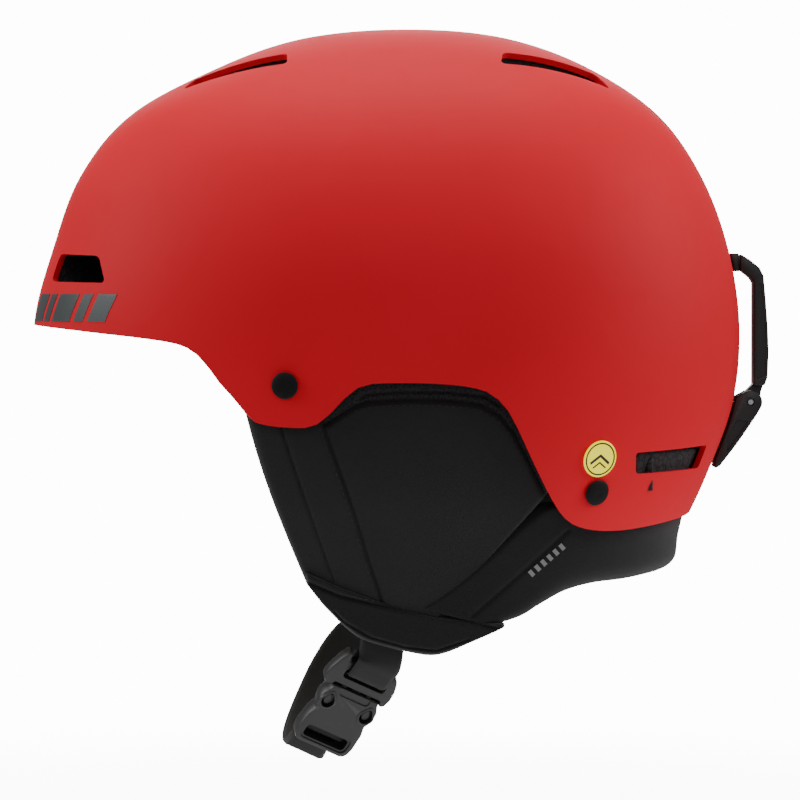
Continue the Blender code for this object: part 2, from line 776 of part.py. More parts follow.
def build_pockets():
    """The sleeves sewn round the ear pads' tips, each with a mouth that the chin strap comes out of."""
    for side_name, side in (("left", 1), ("right", -1)):
        loops = [pad_loop(low, high, -POCKET_PROUD, POCKET_WALL, side) for low, high in POCKET_STATIONS]
        pocket = lofted(f"strap_pocket_{side_name}", loops, "fabric")
        middle = side * STRAP_PIVOT[0]
        cutter = box(
            "cutter",
            (middle - POCKET_SLOT / 2, STRAP_PIVOT[1] - 22.0, STRAP_PIVOT[2] - 20.0),
            (middle + POCKET_SLOT / 2, STRAP_PIVOT[1] + 16.0, STRAP_PIVOT[2] + 30.0),
            "fabric",
        )
        boolean(pocket, [cutter])


def build_yoke():
    """The sewn-in straps that carry the chin strap's load up to the foam, between each pad and its lining."""
    legs = {
        "front": (((-33, -112), (-27, -128), (-19, -145), (-10.5, -162), (-5.0, -173.0)), FRONT_YOKE_DEPTH),
        "rear": (((38, -112), (29, -130), (19, -147), (9, -163), (3.0, -174.0)), REAR_YOKE_DEPTH),
    }
    for side_name, side in (("left", 1), ("right", -1)):
        for leg, (places, depth) in legs.items():
            path, across = [], []
            for y, z in places:
                front, rear = (soft_side(y + reach, z, depth) for reach in (-YOKE_WIDTH / 2, YOKE_WIDTH / 2))
                point = (front + rear + soft_side(y, z, depth) * 2) / 4
                path.append((side * point.x, y, z))
                across.append((side * (rear.x - front.x), rear.y - front.y, 0))
            ribbon(f"strap_yoke_{leg}_{side_name}", path, across, YOKE_WIDTH, YOKE_WALL, "webbing")
            top_y, top_z = places[0]
            anchor = soft_side(top_y, top_z + 6.0, (EAR_PAD_WALL + EAR_LINING_DEPTH) / 2)
            ahead = soft_side(top_y + 1, top_z + 6.0, (EAR_PAD_WALL + EAR_LINING_DEPTH) / 2) - anchor
            place = frame_at((side * anchor.x, anchor.y, anchor.z), (side * ahead.y, -ahead.x, 0))
            box(f"strap_anchor_{leg}_{side_name}", (-8.5, -2.6, -0.9), (8.5, 2.6, 0.9), "plastic", place)


# ---------------------------------------------------------------- chin strap and buckle
def buckle_axes():
    up = BUCKLE_UP.normalized()
    across = (BUCKLE_ACROSS - up * BUCKLE_ACROSS.dot(up)).normalized()
    return across, up, across.cross(up)


def buckle_frame():
    """Puts x across the buckle, y up its length and z out of its face."""
    across, up, out = buckle_axes()
    rows = [[across[i], up[i], out[i], BUCKLE_CENTRE[i]] for i in range(3)]
    return Matrix(rows + [[0, 0, 0, 1]])


def mirrored(half):
    """A closed outline from its right half, which runs from the bottom to the top."""
    return [(x, y) for x, y in half] + [(-x, y) for x, y in reversed(half)]


def build_buckle_female():
    half = (
        (9.4, -21.0), (11.2, -19.2), (11.4, -7.6), (10.6, -5.9), (5.6, -5.9), (5.6, 4.9),
        (9.6, 4.9), (9.6, 7.2),
    )
    female = prism(
        "buckle_female", mirrored(half), -FEMALE_HALF_WALL, FEMALE_HALF_WALL, "buckle",
        buckle_frame(),
    )
    cavity = box("cutter", (-7.9, -9.5, -2.1), (7.9, 12.0, 2.1), "buckle", buckle_frame())
    slot = box("cutter", (-8.7, -19.2, -9.0), (8.7, -12.8, 9.0), "buckle", buckle_frame())
    boolean(female, [cavity, slot])
    rung = box("cutter", (-9.4, -16.8, -3.4), (9.4, -15.2, -1.7), "buckle", buckle_frame())
    return boolean(female, [rung], "UNION")


def build_buckle_male():
    half = ((9.9, 7.6), (9.9, 5.3), (11.9, 5.3), (12.1, 9.0), (12.1, 17.0), (11.2, 20.2), (9.4, 18.6))
    outline = mirrored(half)
    male = prism("buckle_male", outline, -MALE_HALF_WALL, MALE_HALF_WALL, "buckle", buckle_frame())
    tongue = box("cutter", (-2.0, -8.0, -1.6), (2.0, 9.0, 1.6), "buckle", buckle_frame())
    slot = box("cutter", (-8.7, 10.2, -9.0), (8.7, 14.8, 9.0), "buckle", buckle_frame())
    boolean(male, [tongue], "UNION")
    return boolean(male, [slot])


def build_prongs():
    for side_name, side in (("front", -1), ("rear", 1)):
        arm = ((4.2, 7.2), (4.2, -1.0), (5.0, -7.6), (6.6, -7.6), (7.5, -4.0), (7.6, 4.3), (6.4, 7.2))
        pad = (
            (7.0, -3.2), (8.6, -4.1), (10.2, -3.6), (11.5, -1.6), (11.5, 1.6), (10.2, 3.6),
            (8.6, 4.2), (7.0, 3.4),
        )
        pieces = []
        for outline, half_wall in ((arm, 1.7), (pad, 1.7), (pad, 3.1)):
            shifted = [(side * (x + (1.0 if half_wall > 3 else 0.0) * (x < 8)), y) for x, y in outline]
            ordered = shifted if side > 0 else shifted[::-1]
            pieces.append(
                prism(
                    f"buckle_prong_{side_name}" if not pieces else "cutter", ordered, -half_wall,
                    half_wall, "buckle", buckle_frame(),
                ),
            )
        boolean(pieces[0], pieces[1:], "UNION")


def buckle_places(*places):
    """Places in the buckle's centre plane, each given up its length and out of its face."""
    frame = buckle_frame()
    return [frame @ Vector((0, up, out)) for up, out in places]


def build_webbing():
    across, up, _ = buckle_axes()
    middle = Vector(STRAP_PIVOT)
    left_path = [middle, middle + Vector((0, -0.5, -4.2))]
    left_path += buckle_places(
        (22.6, 3.6), (19.0, 3.9), (16.5, 3.9), (14.2, 3.6), (12.9, 2.0),
        (12.6, 0.0), (12.9, -2.0), (14.2, -3.6), (16.5, -3.9), (20.5, -3.9),
    )
    left_across = [Vector((0, 1, 0)), Vector((-0.02, 1, -0.05)), across + Vector((0.2, 0, 0.2))]
    left_across += [across] * 9
    ribbon("chin_strap_left", left_path, left_across, WEBBING_WIDTH, WEBBING_WALL, "webbing", round_start=5)

    right_middle = Vector((-middle.x, middle.y, middle.z))
    right_path = [right_middle, right_middle + Vector((0.1, -5.0, -4.6))]
    right_path += [
        Vector(place)
        for place in (
            (-67.5, -14.0, -204.5), (-56.0, -21.5, -214.5), (-38.0, -27.2, -225.5),
            (-15.0, -31.0, -234.0), (8.0, -32.5, -238.8), (30.0, -31.8, -240.6),
        )
    ]
    right_path += buckle_places(
        (-25.0, -7.8), (-20.5, -6.8), (-16.2, -6.2), (-14.4, -5.3),
        (-13.9, -3.9), (-13.9, -1.8), (-14.7, -0.75), (-17.0, -0.6),
    )
    right_across = [
        Vector(way)
        for way in (
            (0, 0.68, -0.73), (0, 0.68, -0.73), (0.1, 0.7, -0.7), (0.2, 0.8, -0.6),
            (0.15, 0.86, -0.5), (0, 0.9, -0.42), (-0.1, 0.9, -0.42), (-0.25, 0.87, -0.42),
        )
    ]
    right_across += [across] * 8
    ribbon(
        "chin_strap_right", right_path, right_across, WEBBING_WIDTH, WEBBING_WALL, "webbing",
        round_start=5,
    )

    tail_path = buckle_places((-17.6, -2.3), (-18.0, -3.6), (-19.2, -4.5), (-21.5, -4.8), (-30.0, -5.4))
    ribbon("chin_strap_tail", tail_path, [across] * 5, WEBBING_WIDTH - 1.6, 0.9, "webbing")


# ---------------------------------------------------------------- fit system
def cradle_point(turn, height, depth):
    power = 2 / PLAN_SQUARENESS
    sine, cosine = math.sin(math.radians(turn)), math.cos(math.radians(turn))
    return Vector(
        (
            (CRADLE_HALF_WIDTH - depth) * signed_power(sine, power),
            MIDDLE_Y + (CRADLE_REACH - depth) * signed_power(cosine, power),
            height,
        )
    )


def arc_band(name, turns, low_high, depth, wall, count, finish):
    """An upright band round the rear of the head. low_high gives its lower and upper edge at each turn."""
    bm = bmesh.new()
    grids = []
    for drawn_in in (depth, depth + wall):
        grid = [[], [], []]
        for j in range(count):
            turn = turns[0] + (turns[1] - turns[0]) * j / (count - 1)
            low, high = low_high(turn)
            for i in range(3):
                grid[i].append(bm.verts.new(cradle_point(turn, high + (low - high) * i / 2, drawn_in)))
        grids.append(grid)
    close_grids(bm, grids[0], grids[1], ring=False)
    return mesh_object(name, bm, finish)


def build_fit_system():
    def edges(turn):
        rise = (abs(turn) / 66) ** 2
        return CRADLE_LOW + 12 * rise, CRADLE_HIGH + 2 * rise

    def pad_edges(turn):
        low, high = edges(turn)
        return low + 5, high - 5

    arc_band("fit_cradle", (-66, 66), edges, 0.0, CRADLE_WALL, 21, "plastic")
    arc_band("cradle_pad", (-48, 48), pad_edges, CRADLE_WALL + PAD_GAP, 4.0, 15, "fabric")
    for side_name, side in (("left", 1), ("right", -1)):
        end = cradle_point(71.5, -123.0, CRADLE_WALL / 2)
        places = (
            end, Vector((69.5, 32.5, -112.5)), Vector((77.0, 24.0, -99.0)),
            Vector((79.6, 18.0, -87.0)), Vector((79.8, 14.0, -74.0)),
        )
        path = [Vector((side * place.x, place.y, place.z)) for place in places]
        ribbon(
            f"fit_band_{side_name}", path,
            [
                Vector((0, 0.6, 1)), Vector((0, 0.8, 0.8)), Vector((0, 1, 0.6)),
                Vector((0, 1, 0.3)), Vector((0, 1, 0.3)),
            ],
            11.0, 1.2, "webbing",
        )


def main():
    for found in list(bpy.data.objects):
        bpy.data.objects.remove(found)
    build_outer_shell()
    build_foam_liner()
    build_slip_liner()
    build_comfort_pads()
    build_tethers()
    build_rivets()
    build_badge()
    build_goggle_clip()
    build_ear_pads()
    build_neck_roll()
    build_pockets()
    build_yoke()
    build_buckle_female()
    build_buckle_male()
    build_prongs()
    build_webbing()
    build_fit_system()


main()
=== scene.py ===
"""Visual model of a ski helmet: shell, foam, slip liner, ear pads, neck roll, goggle retainer and buckle.

Shapes are worked out in millimetres in the helmet's own frame and written to meshes in metres. The origin is
the head's crown, +Z is up, -Y is the front and +X is the wearer's left.

A place on the dome is given by its turn about Z, 0 at the front and 90 at the wearer's left, and by its dip
from the top. Soft goods below the shell lie on a second surface, given by fore-and-aft place and height.
"""

from __future__ import annotations

import json
import logging
import math
from dataclasses import dataclass, field
from enum import Enum
from typing import Callable, Iterable, Sequence

import bmesh
import bpy
from bmesh.types import BMesh, BMVert
from bpy.types import Material, Object
from mathutils import Matrix, Vector
from mathutils.bvhtree import BVHTree

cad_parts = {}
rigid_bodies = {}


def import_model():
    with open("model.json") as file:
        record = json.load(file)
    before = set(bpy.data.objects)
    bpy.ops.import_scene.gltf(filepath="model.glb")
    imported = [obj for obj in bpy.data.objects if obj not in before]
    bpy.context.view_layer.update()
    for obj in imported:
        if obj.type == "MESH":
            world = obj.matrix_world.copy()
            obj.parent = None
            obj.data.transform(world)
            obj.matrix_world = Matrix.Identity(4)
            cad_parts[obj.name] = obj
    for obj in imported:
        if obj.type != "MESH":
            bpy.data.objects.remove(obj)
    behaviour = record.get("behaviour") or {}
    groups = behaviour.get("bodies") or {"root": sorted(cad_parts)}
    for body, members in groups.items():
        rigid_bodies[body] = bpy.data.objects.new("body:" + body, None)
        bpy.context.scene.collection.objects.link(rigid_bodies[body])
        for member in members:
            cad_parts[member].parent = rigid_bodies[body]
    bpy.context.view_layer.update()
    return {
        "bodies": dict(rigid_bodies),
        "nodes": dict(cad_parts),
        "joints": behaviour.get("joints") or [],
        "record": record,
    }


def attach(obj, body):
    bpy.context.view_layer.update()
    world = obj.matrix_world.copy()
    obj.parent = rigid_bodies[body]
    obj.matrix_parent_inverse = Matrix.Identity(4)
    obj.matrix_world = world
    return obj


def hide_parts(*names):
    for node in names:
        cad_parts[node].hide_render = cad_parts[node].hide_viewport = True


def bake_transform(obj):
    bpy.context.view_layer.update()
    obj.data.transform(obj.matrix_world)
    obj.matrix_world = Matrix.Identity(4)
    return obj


LOG = logging.getLogger("ski_helmet")
MM = 0.001
FULL_TURN = 360.0

Place = tuple[float, float]
Span = tuple[Place, Place]
Stations = Sequence[Sequence[float]]


class Side(Enum):
    """The wearer's left or right, with the sign of its X."""

    LEFT = 1
    RIGHT = -1

    @property
    def word(self) -> str:
        """The side's name as it stands in piece names."""
        return self.name.lower()


class Body(Enum):
    """The moving bodies of the frame that pieces ride on."""

    HELMET = "helmet"
    SLIP = "slip_layer"
    CRADLE = "cradle"
    CLIP = "clip_arm"
    STRAP_UPPER = "strap_upper"
    STRAP_LOWER = "strap_lower"
    PRONG_FRONT = "prong_front"
    PRONG_REAR = "prong_rear"


class Slot(Enum):
    """The record's material slots."""

    SHELL = "shell"
    FOAM = "foam"
    SLIP = "slip"
    ELASTOMER = "elastomer"
    PLASTIC = "plastic"
    BUCKLE = "buckle"
    FABRIC = "fabric"
    WEBBING = "webbing"
    BADGE = "badge"
    STEEL = "steel"


# ---------------------------------------------------------------- shader writing
class Wire:
    """A number that varies over a surface, on which Python's operators add Math nodes."""

    def __init__(self, sheet: "ShaderSheet", socket: object) -> None:
        """Wraps an output socket of a shader sheet."""
        self.sheet = sheet
        self.socket = socket

    def math(self, operation: str, *others: object) -> "Wire":
        """Adds one Math node.

        Args:
            operation: the node's operation.
            others: its second and third values, as wires or numbers.

        Returns:
            The node's result.
        """
        inputs = {index: value for index, value in enumerate((self, *others))}
        return self.sheet.wire("ShaderNodeMath", {"operation": operation}, inputs)

    def __add__(self, other: object) -> "Wire":
        """Sum."""
        return self.math("ADD", other)

    __radd__ = __add__

    def __mul__(self, other: object) -> "Wire":
        """Product."""
        return self.math("MULTIPLY", other)

    __rmul__ = __mul__

    def __sub__(self, other: object) -> "Wire":
        """Difference."""
        return self.math("SUBTRACT", other)

    def __rsub__(self, other: float) -> "Wire":
        """A number less this."""
        return self.math("MULTIPLY_ADD", -1.0, other)

    def __truediv__(self, other: object) -> "Wire":
        """Quotient."""
        return self.math("DIVIDE", other)

    def sine(self) -> "Wire":
        """Sine, in radians."""
        return self.math("SINE")

    def size(self) -> "Wire":
        """Absolute value."""
        return self.math("ABSOLUTE")

    def fraction(self) -> "Wire":
        """The part after the decimal point."""
        return self.math("FRACT")

    def ramp(self, low: float, high: float) -> "Wire":
        """Goes smoothly from 0 at low to 1 at high."""
        settings = {"interpolation_type": "SMOOTHSTEP"}
        inputs = {"Value": self, "From Min": low, "From Max": high}
        return self.sheet.wire("ShaderNodeMapRange", settings, inputs)


class ShaderSheet:
    """A material's nodes, written one call at a time."""

    def __init__(self, name: str) -> None:
        """Makes an empty material of this name with one Principled shader."""
        self.material = bpy.data.materials.new(name)
        self.material.use_nodes = True
        self.tree = self.material.node_tree
        self.shader = self.tree.nodes["Principled BSDF"]
        self.place = self.tree.nodes.new("ShaderNodeTexCoord")

    def node(self, kind: str, settings: dict[str, object], inputs: dict[object, object]) -> object:
        """Adds a node.

        Args:
            kind: the node's type.
            settings: its own properties, set first.
            inputs: a value or a wire for each socket, by name or number.

        Returns:
            The node.
        """
        made = self.tree.nodes.new(kind)
        for name, value in settings.items():
            setattr(made, name, value)
        for name, value in inputs.items():
            self.feed(made.inputs[name], value)
        return made

    def wire(
        self, kind: str, settings: dict[str, object], inputs: dict[object, object], output: object = 0
    ) -> Wire:
        """Adds a node and wraps one of its outputs."""
        return Wire(self, self.node(kind, settings, inputs).outputs[output])

    def feed(self, socket: object, value: object) -> None:
        """Sets a socket to a number or colour, or links a wire to it."""
        if isinstance(value, Wire):
            self.tree.links.new(value.socket, socket)
        else:
            socket.default_value = value

    def coordinates(self, kind: str = "Object") -> Wire:
        """The place on the piece, in metres on Object, or in its own map on UV."""
        return Wire(self, self.place.outputs[kind])

    def axes(self, kind: str = "Object") -> tuple[Wire, Wire, Wire]:
        """The three coordinates, each as a wire."""
        made = self.node("ShaderNodeSeparateXYZ", {}, {0: self.coordinates(kind)})
        return tuple(Wire(self, made.outputs[i]) for i in range(3))

    def attribute(self, name: str) -> Wire:
        """A number stored on the piece's points."""
        return self.wire("ShaderNodeAttribute", {"attribute_name": name}, {}, "Fac")

    def noise(self, scale: float, detail: float = 2.0, kind: str = "Object") -> Wire:
        """Soft noise with so many features to a metre."""
        inputs = {"Vector": self.coordinates(kind), "Scale": scale, "Detail": detail}
        return self.wire("ShaderNodeTexNoise", {}, inputs, "Fac")

    def cells(self, scale: float, feature: str = "DISTANCE_TO_EDGE") -> Wire:
        """Distance to the edge of packed cells, with so many cells to a metre."""
        inputs = {"Vector": self.coordinates(), "Scale": scale}
        return self.wire("ShaderNodeTexVoronoi", {"feature": feature}, inputs, "Distance")

    def blend(self, low: Sequence[float], high: Sequence[float], share: Wire) -> Wire:
        """A colour between two others."""
        inputs = {0: share, 6: (*low, 1.0), 7: (*high, 1.0)}
        return self.wire("ShaderNodeMix", {"data_type": "RGBA"}, inputs, 2)

    def relief(self, height: Wire, depth: float, strength: float = 1.0) -> None:
        """Feeds the shader's normal from a height, whose range of 1 stands for so many metres."""
        bump = self.node("ShaderNodeBump", {}, {"Height": height, "Distance": depth, "Strength": strength})
        self.tree.links.new(bump.outputs["Normal"], self.shader.inputs["Normal"])

    def dress(self, **values: object) -> None:
        """Sets the shader's sockets, with underscores for the spaces in their names."""
        sockets = {socket.name.lower().replace(" ", "_"): socket for socket in self.shader.inputs}
        for name, value in values.items():
            self.feed(sockets[name], value)


@dataclass(frozen=True)
class Finish:
    """What a surface is made of. Each kind writes its own nodes."""

    name: str
    colour: tuple[float, float, float]
    roughness: float

    def write(self, sheet: ShaderSheet) -> None:
        """Writes the nodes of a plain finish."""
        sheet.dress(base_color=(*self.colour, 1.0), roughness=self.roughness)

    def material(self) -> Material:
        """The finish's material, made once."""
        found = bpy.data.materials.get(self.name)
        if found:
            return found
        sheet = ShaderSheet(self.name)
        self.write(sheet)
        return sheet.material


@dataclass(frozen=True)
class ShellPaint(Finish):
    """Matt moulded colour with a very fine orange peel and faint rubbed patches."""

    shade: tuple[float, float, float] = (0.6, 0.02, 0.03)
    peel: float = 900.0
    cloud: float = 9.0
    specular: float = 0.16

    def write(self, sheet: ShaderSheet) -> None:
        """Writes the colour's slow drift, the peel and the rubbed patches."""
        drift = sheet.noise(self.cloud, 3.0)
        rubbed = sheet.noise(70.0, 5.0).ramp(0.52, 0.72)
        sheet.dress(
            base_color=sheet.blend(self.shade, self.colour, drift.ramp(0.3, 0.7)),
            roughness=rubbed * 0.05 + self.roughness,
        )
        sheet.dress(specular_ior_level=self.specular)
        sheet.relief(sheet.noise(self.peel, 2.0), 0.00006, 0.35)


@dataclass(frozen=True)
class BeadFoam(Finish):
    """Expanded foam of packed beads."""

    bead: float = 330.0

    def write(self, sheet: ShaderSheet) -> None:
        """Writes the beads' outlines as shade and relief."""
        edge = sheet.cells(self.bead).ramp(0.0, 0.16)
        tone = sheet.blend(tuple(c * 0.5 for c in self.colour), self.colour, edge)
        sheet.dress(base_color=tone, roughness=0.12 * sheet.noise(240.0) + self.roughness)
        sheet.relief(edge, 0.0003, 0.8)


@dataclass(frozen=True)
class Knit(Finish):
    """Brushed knit over padding, with painted shade in its sunk seams and creases, fine ribs and lint."""

    rib: float = 1150.0
    coarse: float = 700.0
    fuzz: float = 2600.0
    sheen: float = 0.12

    def write(self, sheet: ShaderSheet) -> None:
        """Writes the loops of the knit, the fuzz on it and painted shade in its seams and creases."""
        x, y, z = sheet.axes()
        warp = (y * (self.rib * math.tau) + z * (self.rib * 2.2)).sine()
        weft = (z * (self.rib * math.tau) + x * (self.rib * 2.2)).sine()
        loops = warp * weft * 0.5 + 0.5
        fuzz = sheet.noise(self.fuzz, 3.0)
        # Painted shade: nearness to the seams and creases that carve sank, used to darken the knit there.
        seam = sheet.attribute("seam")
        strip = sheet.attribute("strip")
        coarse = sheet.cells(self.coarse).ramp(0.03, 0.22)
        loops = loops * (1.0 - strip) + (1.0 - coarse) * strip
        # The last factor paints shade into the sunk seams and creases, darkening them by up to 80%.
        tone = (loops * (strip * 0.5 + 0.3) + fuzz * 0.4 + sheet.noise(45.0, 3.0) * 0.2) * (1.0 - seam * 0.8)
        light = tuple(c * 1.7 for c in self.colour)
        dark = tuple(c * 0.45 for c in self.colour)
        sheet.dress(base_color=sheet.blend(dark, light, tone), roughness=loops * 0.06 + self.roughness)
        sheet.dress(sheen_weight=self.sheen, sheen_roughness=0.5, specular_ior_level=0.22)
        sheet.relief(loops * 0.6 + fuzz * 0.5, 0.00022, 0.7)


@dataclass(frozen=True)
class OpenMesh(Finish):
    """Spacer mesh with rows of small holes."""

    hole: float = 620.0

    def write(self, sheet: ShaderSheet) -> None:
        """Writes the holes as dark dips between threads."""
        threads = sheet.cells(self.hole).ramp(0.04, 0.3)
        fuzz = sheet.noise(2400.0, 2.0)
        tone = (1.0 - threads) * 0.8 + fuzz * 0.2
        light = tuple(c * 1.9 for c in self.colour)
        dark = tuple(c * 0.25 for c in self.colour)
        sheet.dress(base_color=sheet.blend(dark, light, tone), roughness=self.roughness)
        sheet.dress(sheen_weight=0.2, specular_ior_level=0.25)
        sheet.relief(1.0 - threads, 0.0003, 0.9)


@dataclass(frozen=True)
class Woven(Finish):
    """Webbing, on a map whose first axis crosses the strap and whose second runs along it, in metres."""

    pick: float = 0.00105
    end: float = 0.0011

    def write(self, sheet: ShaderSheet) -> None:
        """Writes a twill of picks and ends, with a flat selvedge and lint."""
        across, along, _ = sheet.axes("UV")
        twill = ((along / self.pick + across.size() * (0.9 / self.end)).fraction() - 0.5).size() * 2.0
        cord = (across / self.end).math("MULTIPLY", math.tau).sine() * 0.5 + 0.5
        height = twill * 0.7 + cord * 0.3
        fuzz = sheet.noise(1900.0, 3.0)
        light = tuple(c * 1.8 for c in self.colour)
        dark = tuple(c * 0.4 for c in self.colour)
        sheet.dress(base_color=sheet.blend(dark, light, height * 0.6 + fuzz * 0.4), roughness=self.roughness)
        sheet.dress(sheen_weight=0.15, specular_ior_level=0.25)
        sheet.relief(height + fuzz * 0.3, 0.00025, 0.8)


@dataclass(frozen=True)
class Moulded(Finish):
    """Moulded plastic with a spark-eroded grain, scuffing where it is handled and a painted highlight along
    its convex edges.
    """

    grain: float = 2200.0
    # How much lighter the colour gets, both for real scuffs and for the painted edge highlight.
    wear: float = 1.35
    gloss: float = 0.5

    def write(self, sheet: ShaderSheet) -> None:
        """Writes the grain, the scuffs, a painted highlight on convex edges and a slight polish."""
        grain = sheet.noise(self.grain, 2.0)
        scuff = sheet.noise(260.0, 6.0).ramp(0.55, 0.75)
        # Painted highlight: convex edges are lightened by their pointiness, standing in for light caught on
        # the edges.
        edge = self.edge_light(sheet)
        # The lighter colour that both the scuffs and the painted edge highlight blend towards.
        worn_and_highlit = tuple(min(1.0, c * self.wear + 0.012) for c in self.colour)
        sheet.dress(
            base_color=sheet.blend(self.colour, worn_and_highlit, (scuff * 0.4 + edge).ramp(0.0, 1.0)),
            roughness=self.roughness + grain * 0.12 - scuff * 0.06,
        )
        sheet.dress(specular_ior_level=self.gloss)
        sheet.relief(grain, 0.00005, 0.5)

    def edge_light(self, sheet: ShaderSheet) -> Wire:
        """A painted highlight on convex edges, from the mesh's pointiness."""
        convex = sheet.wire("ShaderNodeNewGeometry", {}, {}, "Pointiness")
        return convex.ramp(0.52, 0.62) * 0.9


@dataclass(frozen=True)
class BrushedSteel(Finish):
    """Steel with fine drawn lines."""

    def write(self, sheet: ShaderSheet) -> None:
        """Writes drawn lines along the pin."""
        x, y, z = sheet.axes()
        lines = ((y + z) * 9000.0).sine() * 0.5 + 0.5
        sheet.dress(base_color=(*self.colour, 1.0), metallic=1.0, roughness=lines * 0.1 + self.roughness)


@dataclass(frozen=True)
class FloorPaper(Finish):
    """White paper that fades into the white surround, by its distance from the middle in metres."""

    near: float = 0.12
    far: float = 0.42
    cover: float = 0.3
    glow: float = 3.2

    def write(self, sheet: ShaderSheet) -> None:
        """Writes the paper's tone and its fade."""
        x, y, _ = sheet.axes()
        reach = (x * x + y * y).math("SQRT")
        fade = reach.ramp(self.far, self.near) * self.cover
        sheet.dress(base_color=(*self.colour, 1.0), roughness=self.roughness, alpha=fade)
        sheet.dress(emission_color=(*self.colour, 1.0), emission_strength=self.glow)


@dataclass(frozen=True)
class PrintedDisc(Finish):
    """A lacquered print with a generic mark: a thin ring and a chevron, made to glow with its own colour as
    painted light.
    """

    ink: tuple[float, float, float] = (0.015, 0.015, 0.012)
    # The print's emission strength: painted light, since the badge is no lamp.
    glow: float = 0.7

    def write(self, sheet: ShaderSheet) -> None:
        """Writes the ring and the chevron from the disc's own map, whose rim is at 1, and makes the print
        glow as painted light.
        """
        across, up, _ = sheet.axes("UV")
        reach = (across * across + up * up).math("SQRT")
        ring = (reach - 0.86).size().ramp(0.055, 0.035)
        chevron = (up + across.size() * 0.75 - 0.18).size().ramp(0.11, 0.08)
        inside = reach.ramp(0.66, 0.62)
        second = (up + across.size() * 0.75 + 0.2).size().ramp(0.07, 0.045)
        mark = (chevron + second).math("MINIMUM", 1.0) * inside
        ink = (mark + ring).math("MINIMUM", 1.0)
        print_colour = sheet.blend(self.colour, self.ink, ink)
        sheet.dress(base_color=print_colour, roughness=sheet.noise(500.0) * 0.1 + self.roughness)
        # Painted light: the print glows with its own colour.
        sheet.dress(emission_color=print_colour, emission_strength=self.glow)


class Finishes:
    """The helmet's finishes."""

    SHELL = ShellPaint("shell_red", (0.76, 0.006, 0.021), 0.6, shade=(0.71, 0.005, 0.017))
    FOAM = BeadFoam("bead_foam", (0.028, 0.028, 0.03), 0.82)
    SLIP = Moulded("slip_sheet", (0.80, 0.62, 0.03), 0.42, wear=1.1)
    ELASTOMER = Moulded("elastomer", (0.016, 0.016, 0.017), 0.6, wear=1.2)
    PLASTIC = Moulded("retainer_plastic", (0.0105, 0.0105, 0.011), 0.36)
    RIVET = Moulded("rivet_plastic", (0.0055, 0.005, 0.005), 0.62, wear=1.2, gloss=0.2)
    BUCKLE = Moulded("buckle_acetal", (0.009, 0.0086, 0.0086), 0.36, wear=2.0)
    CRADLE = Moulded("cradle_plastic", (0.02, 0.02, 0.021), 0.45)
    KNIT = Knit("ear_pad_knit", (0.0165, 0.0165, 0.017), 0.9)
    BAND = Knit("band_knit", (0.0085, 0.0085, 0.009), 0.86, rib=1500.0)
    COMFORT = OpenMesh("comfort_mesh", (0.016, 0.016, 0.017), 0.92)
    LINING = Knit("lining_fleece", (0.018, 0.018, 0.019), 0.95, rib=500.0, sheen=0.3)
    WEBBING = Woven("webbing", (0.016, 0.016, 0.017), 0.84)
    THREAD = Finish("thread", (0.013, 0.013, 0.014), 0.7)
    BADGE = PrintedDisc("badge_print", (0.95, 0.86, 0.012), 0.4)
    STEEL = BrushedSteel("pin_steel", (0.55, 0.55, 0.56), 0.28)
    DECAL = Moulded("front_marks", (0.035, 0.045, 0.045), 0.4, wear=1.1)
    LABEL = Moulded("band_marks", (0.16, 0.16, 0.165), 0.6, wear=1.1)


# ---------------------------------------------------------------- curves and surfaces
def between(stations: Stations, x: float) -> list[float]:
    """Reads a smooth curve through stations.

    Args:
        stations: rows of a place and the values there, in order.
        x: the place to read at.

    Returns:
        The values at x.
    """
    last = len(stations) - 1
    i = max(0, min(last - 1, sum(1 for row in stations if row[0] <= x) - 1))
    step = stations[i + 1][0] - stations[i][0]
    t = max(0.0, min(1.0, (x - stations[i][0]) / step))

    def slope(j: int, k: int) -> float:
        """The curve's slope at a station."""
        a, b = stations[max(0, j - 1)], stations[min(last, j + 1)]
        return (b[k] - a[k]) / (b[0] - a[0])

    values = []
    for k in range(1, len(stations[0])):
        a, b = stations[i][k], stations[i + 1][k]
        rise = (2 * t**3 - 3 * t**2 + 1) * a + (3 * t**2 - 2 * t**3) * b
        values.append(rise + step * ((t**3 - 2 * t**2 + t) * slope(i, k) + (t**3 - t**2) * slope(i + 1, k)))
    return values


def along(places: Sequence[Sequence[float]], share: float) -> list[float]:
    """Reads a smooth curve through evenly numbered places, with share 0 at the first and 1 at the last."""
    rows = [(index, *place) for index, place in enumerate(places)]
    return between(rows, share * (len(places) - 1))


def smooth_path(points: Sequence[Sequence[float]], step: float) -> list[Vector]:
    """Points about a step apart on a smooth curve through the given points."""
    reach = [0.0]
    for a, b in zip(points, points[1:]):
        reach.append(reach[-1] + (Vector(b) - Vector(a)).length)
    rows = [(r, *p) for r, p in zip(reach, points)]
    count = max(2, round(reach[-1] / step))
    return [Vector(between(rows, reach[-1] * i / count)) for i in range(count + 1)]


def signed_power(value: float, power: float) -> float:
    """The power of a value's size, with the value's sign."""
    return math.copysign(abs(value) ** power, value)


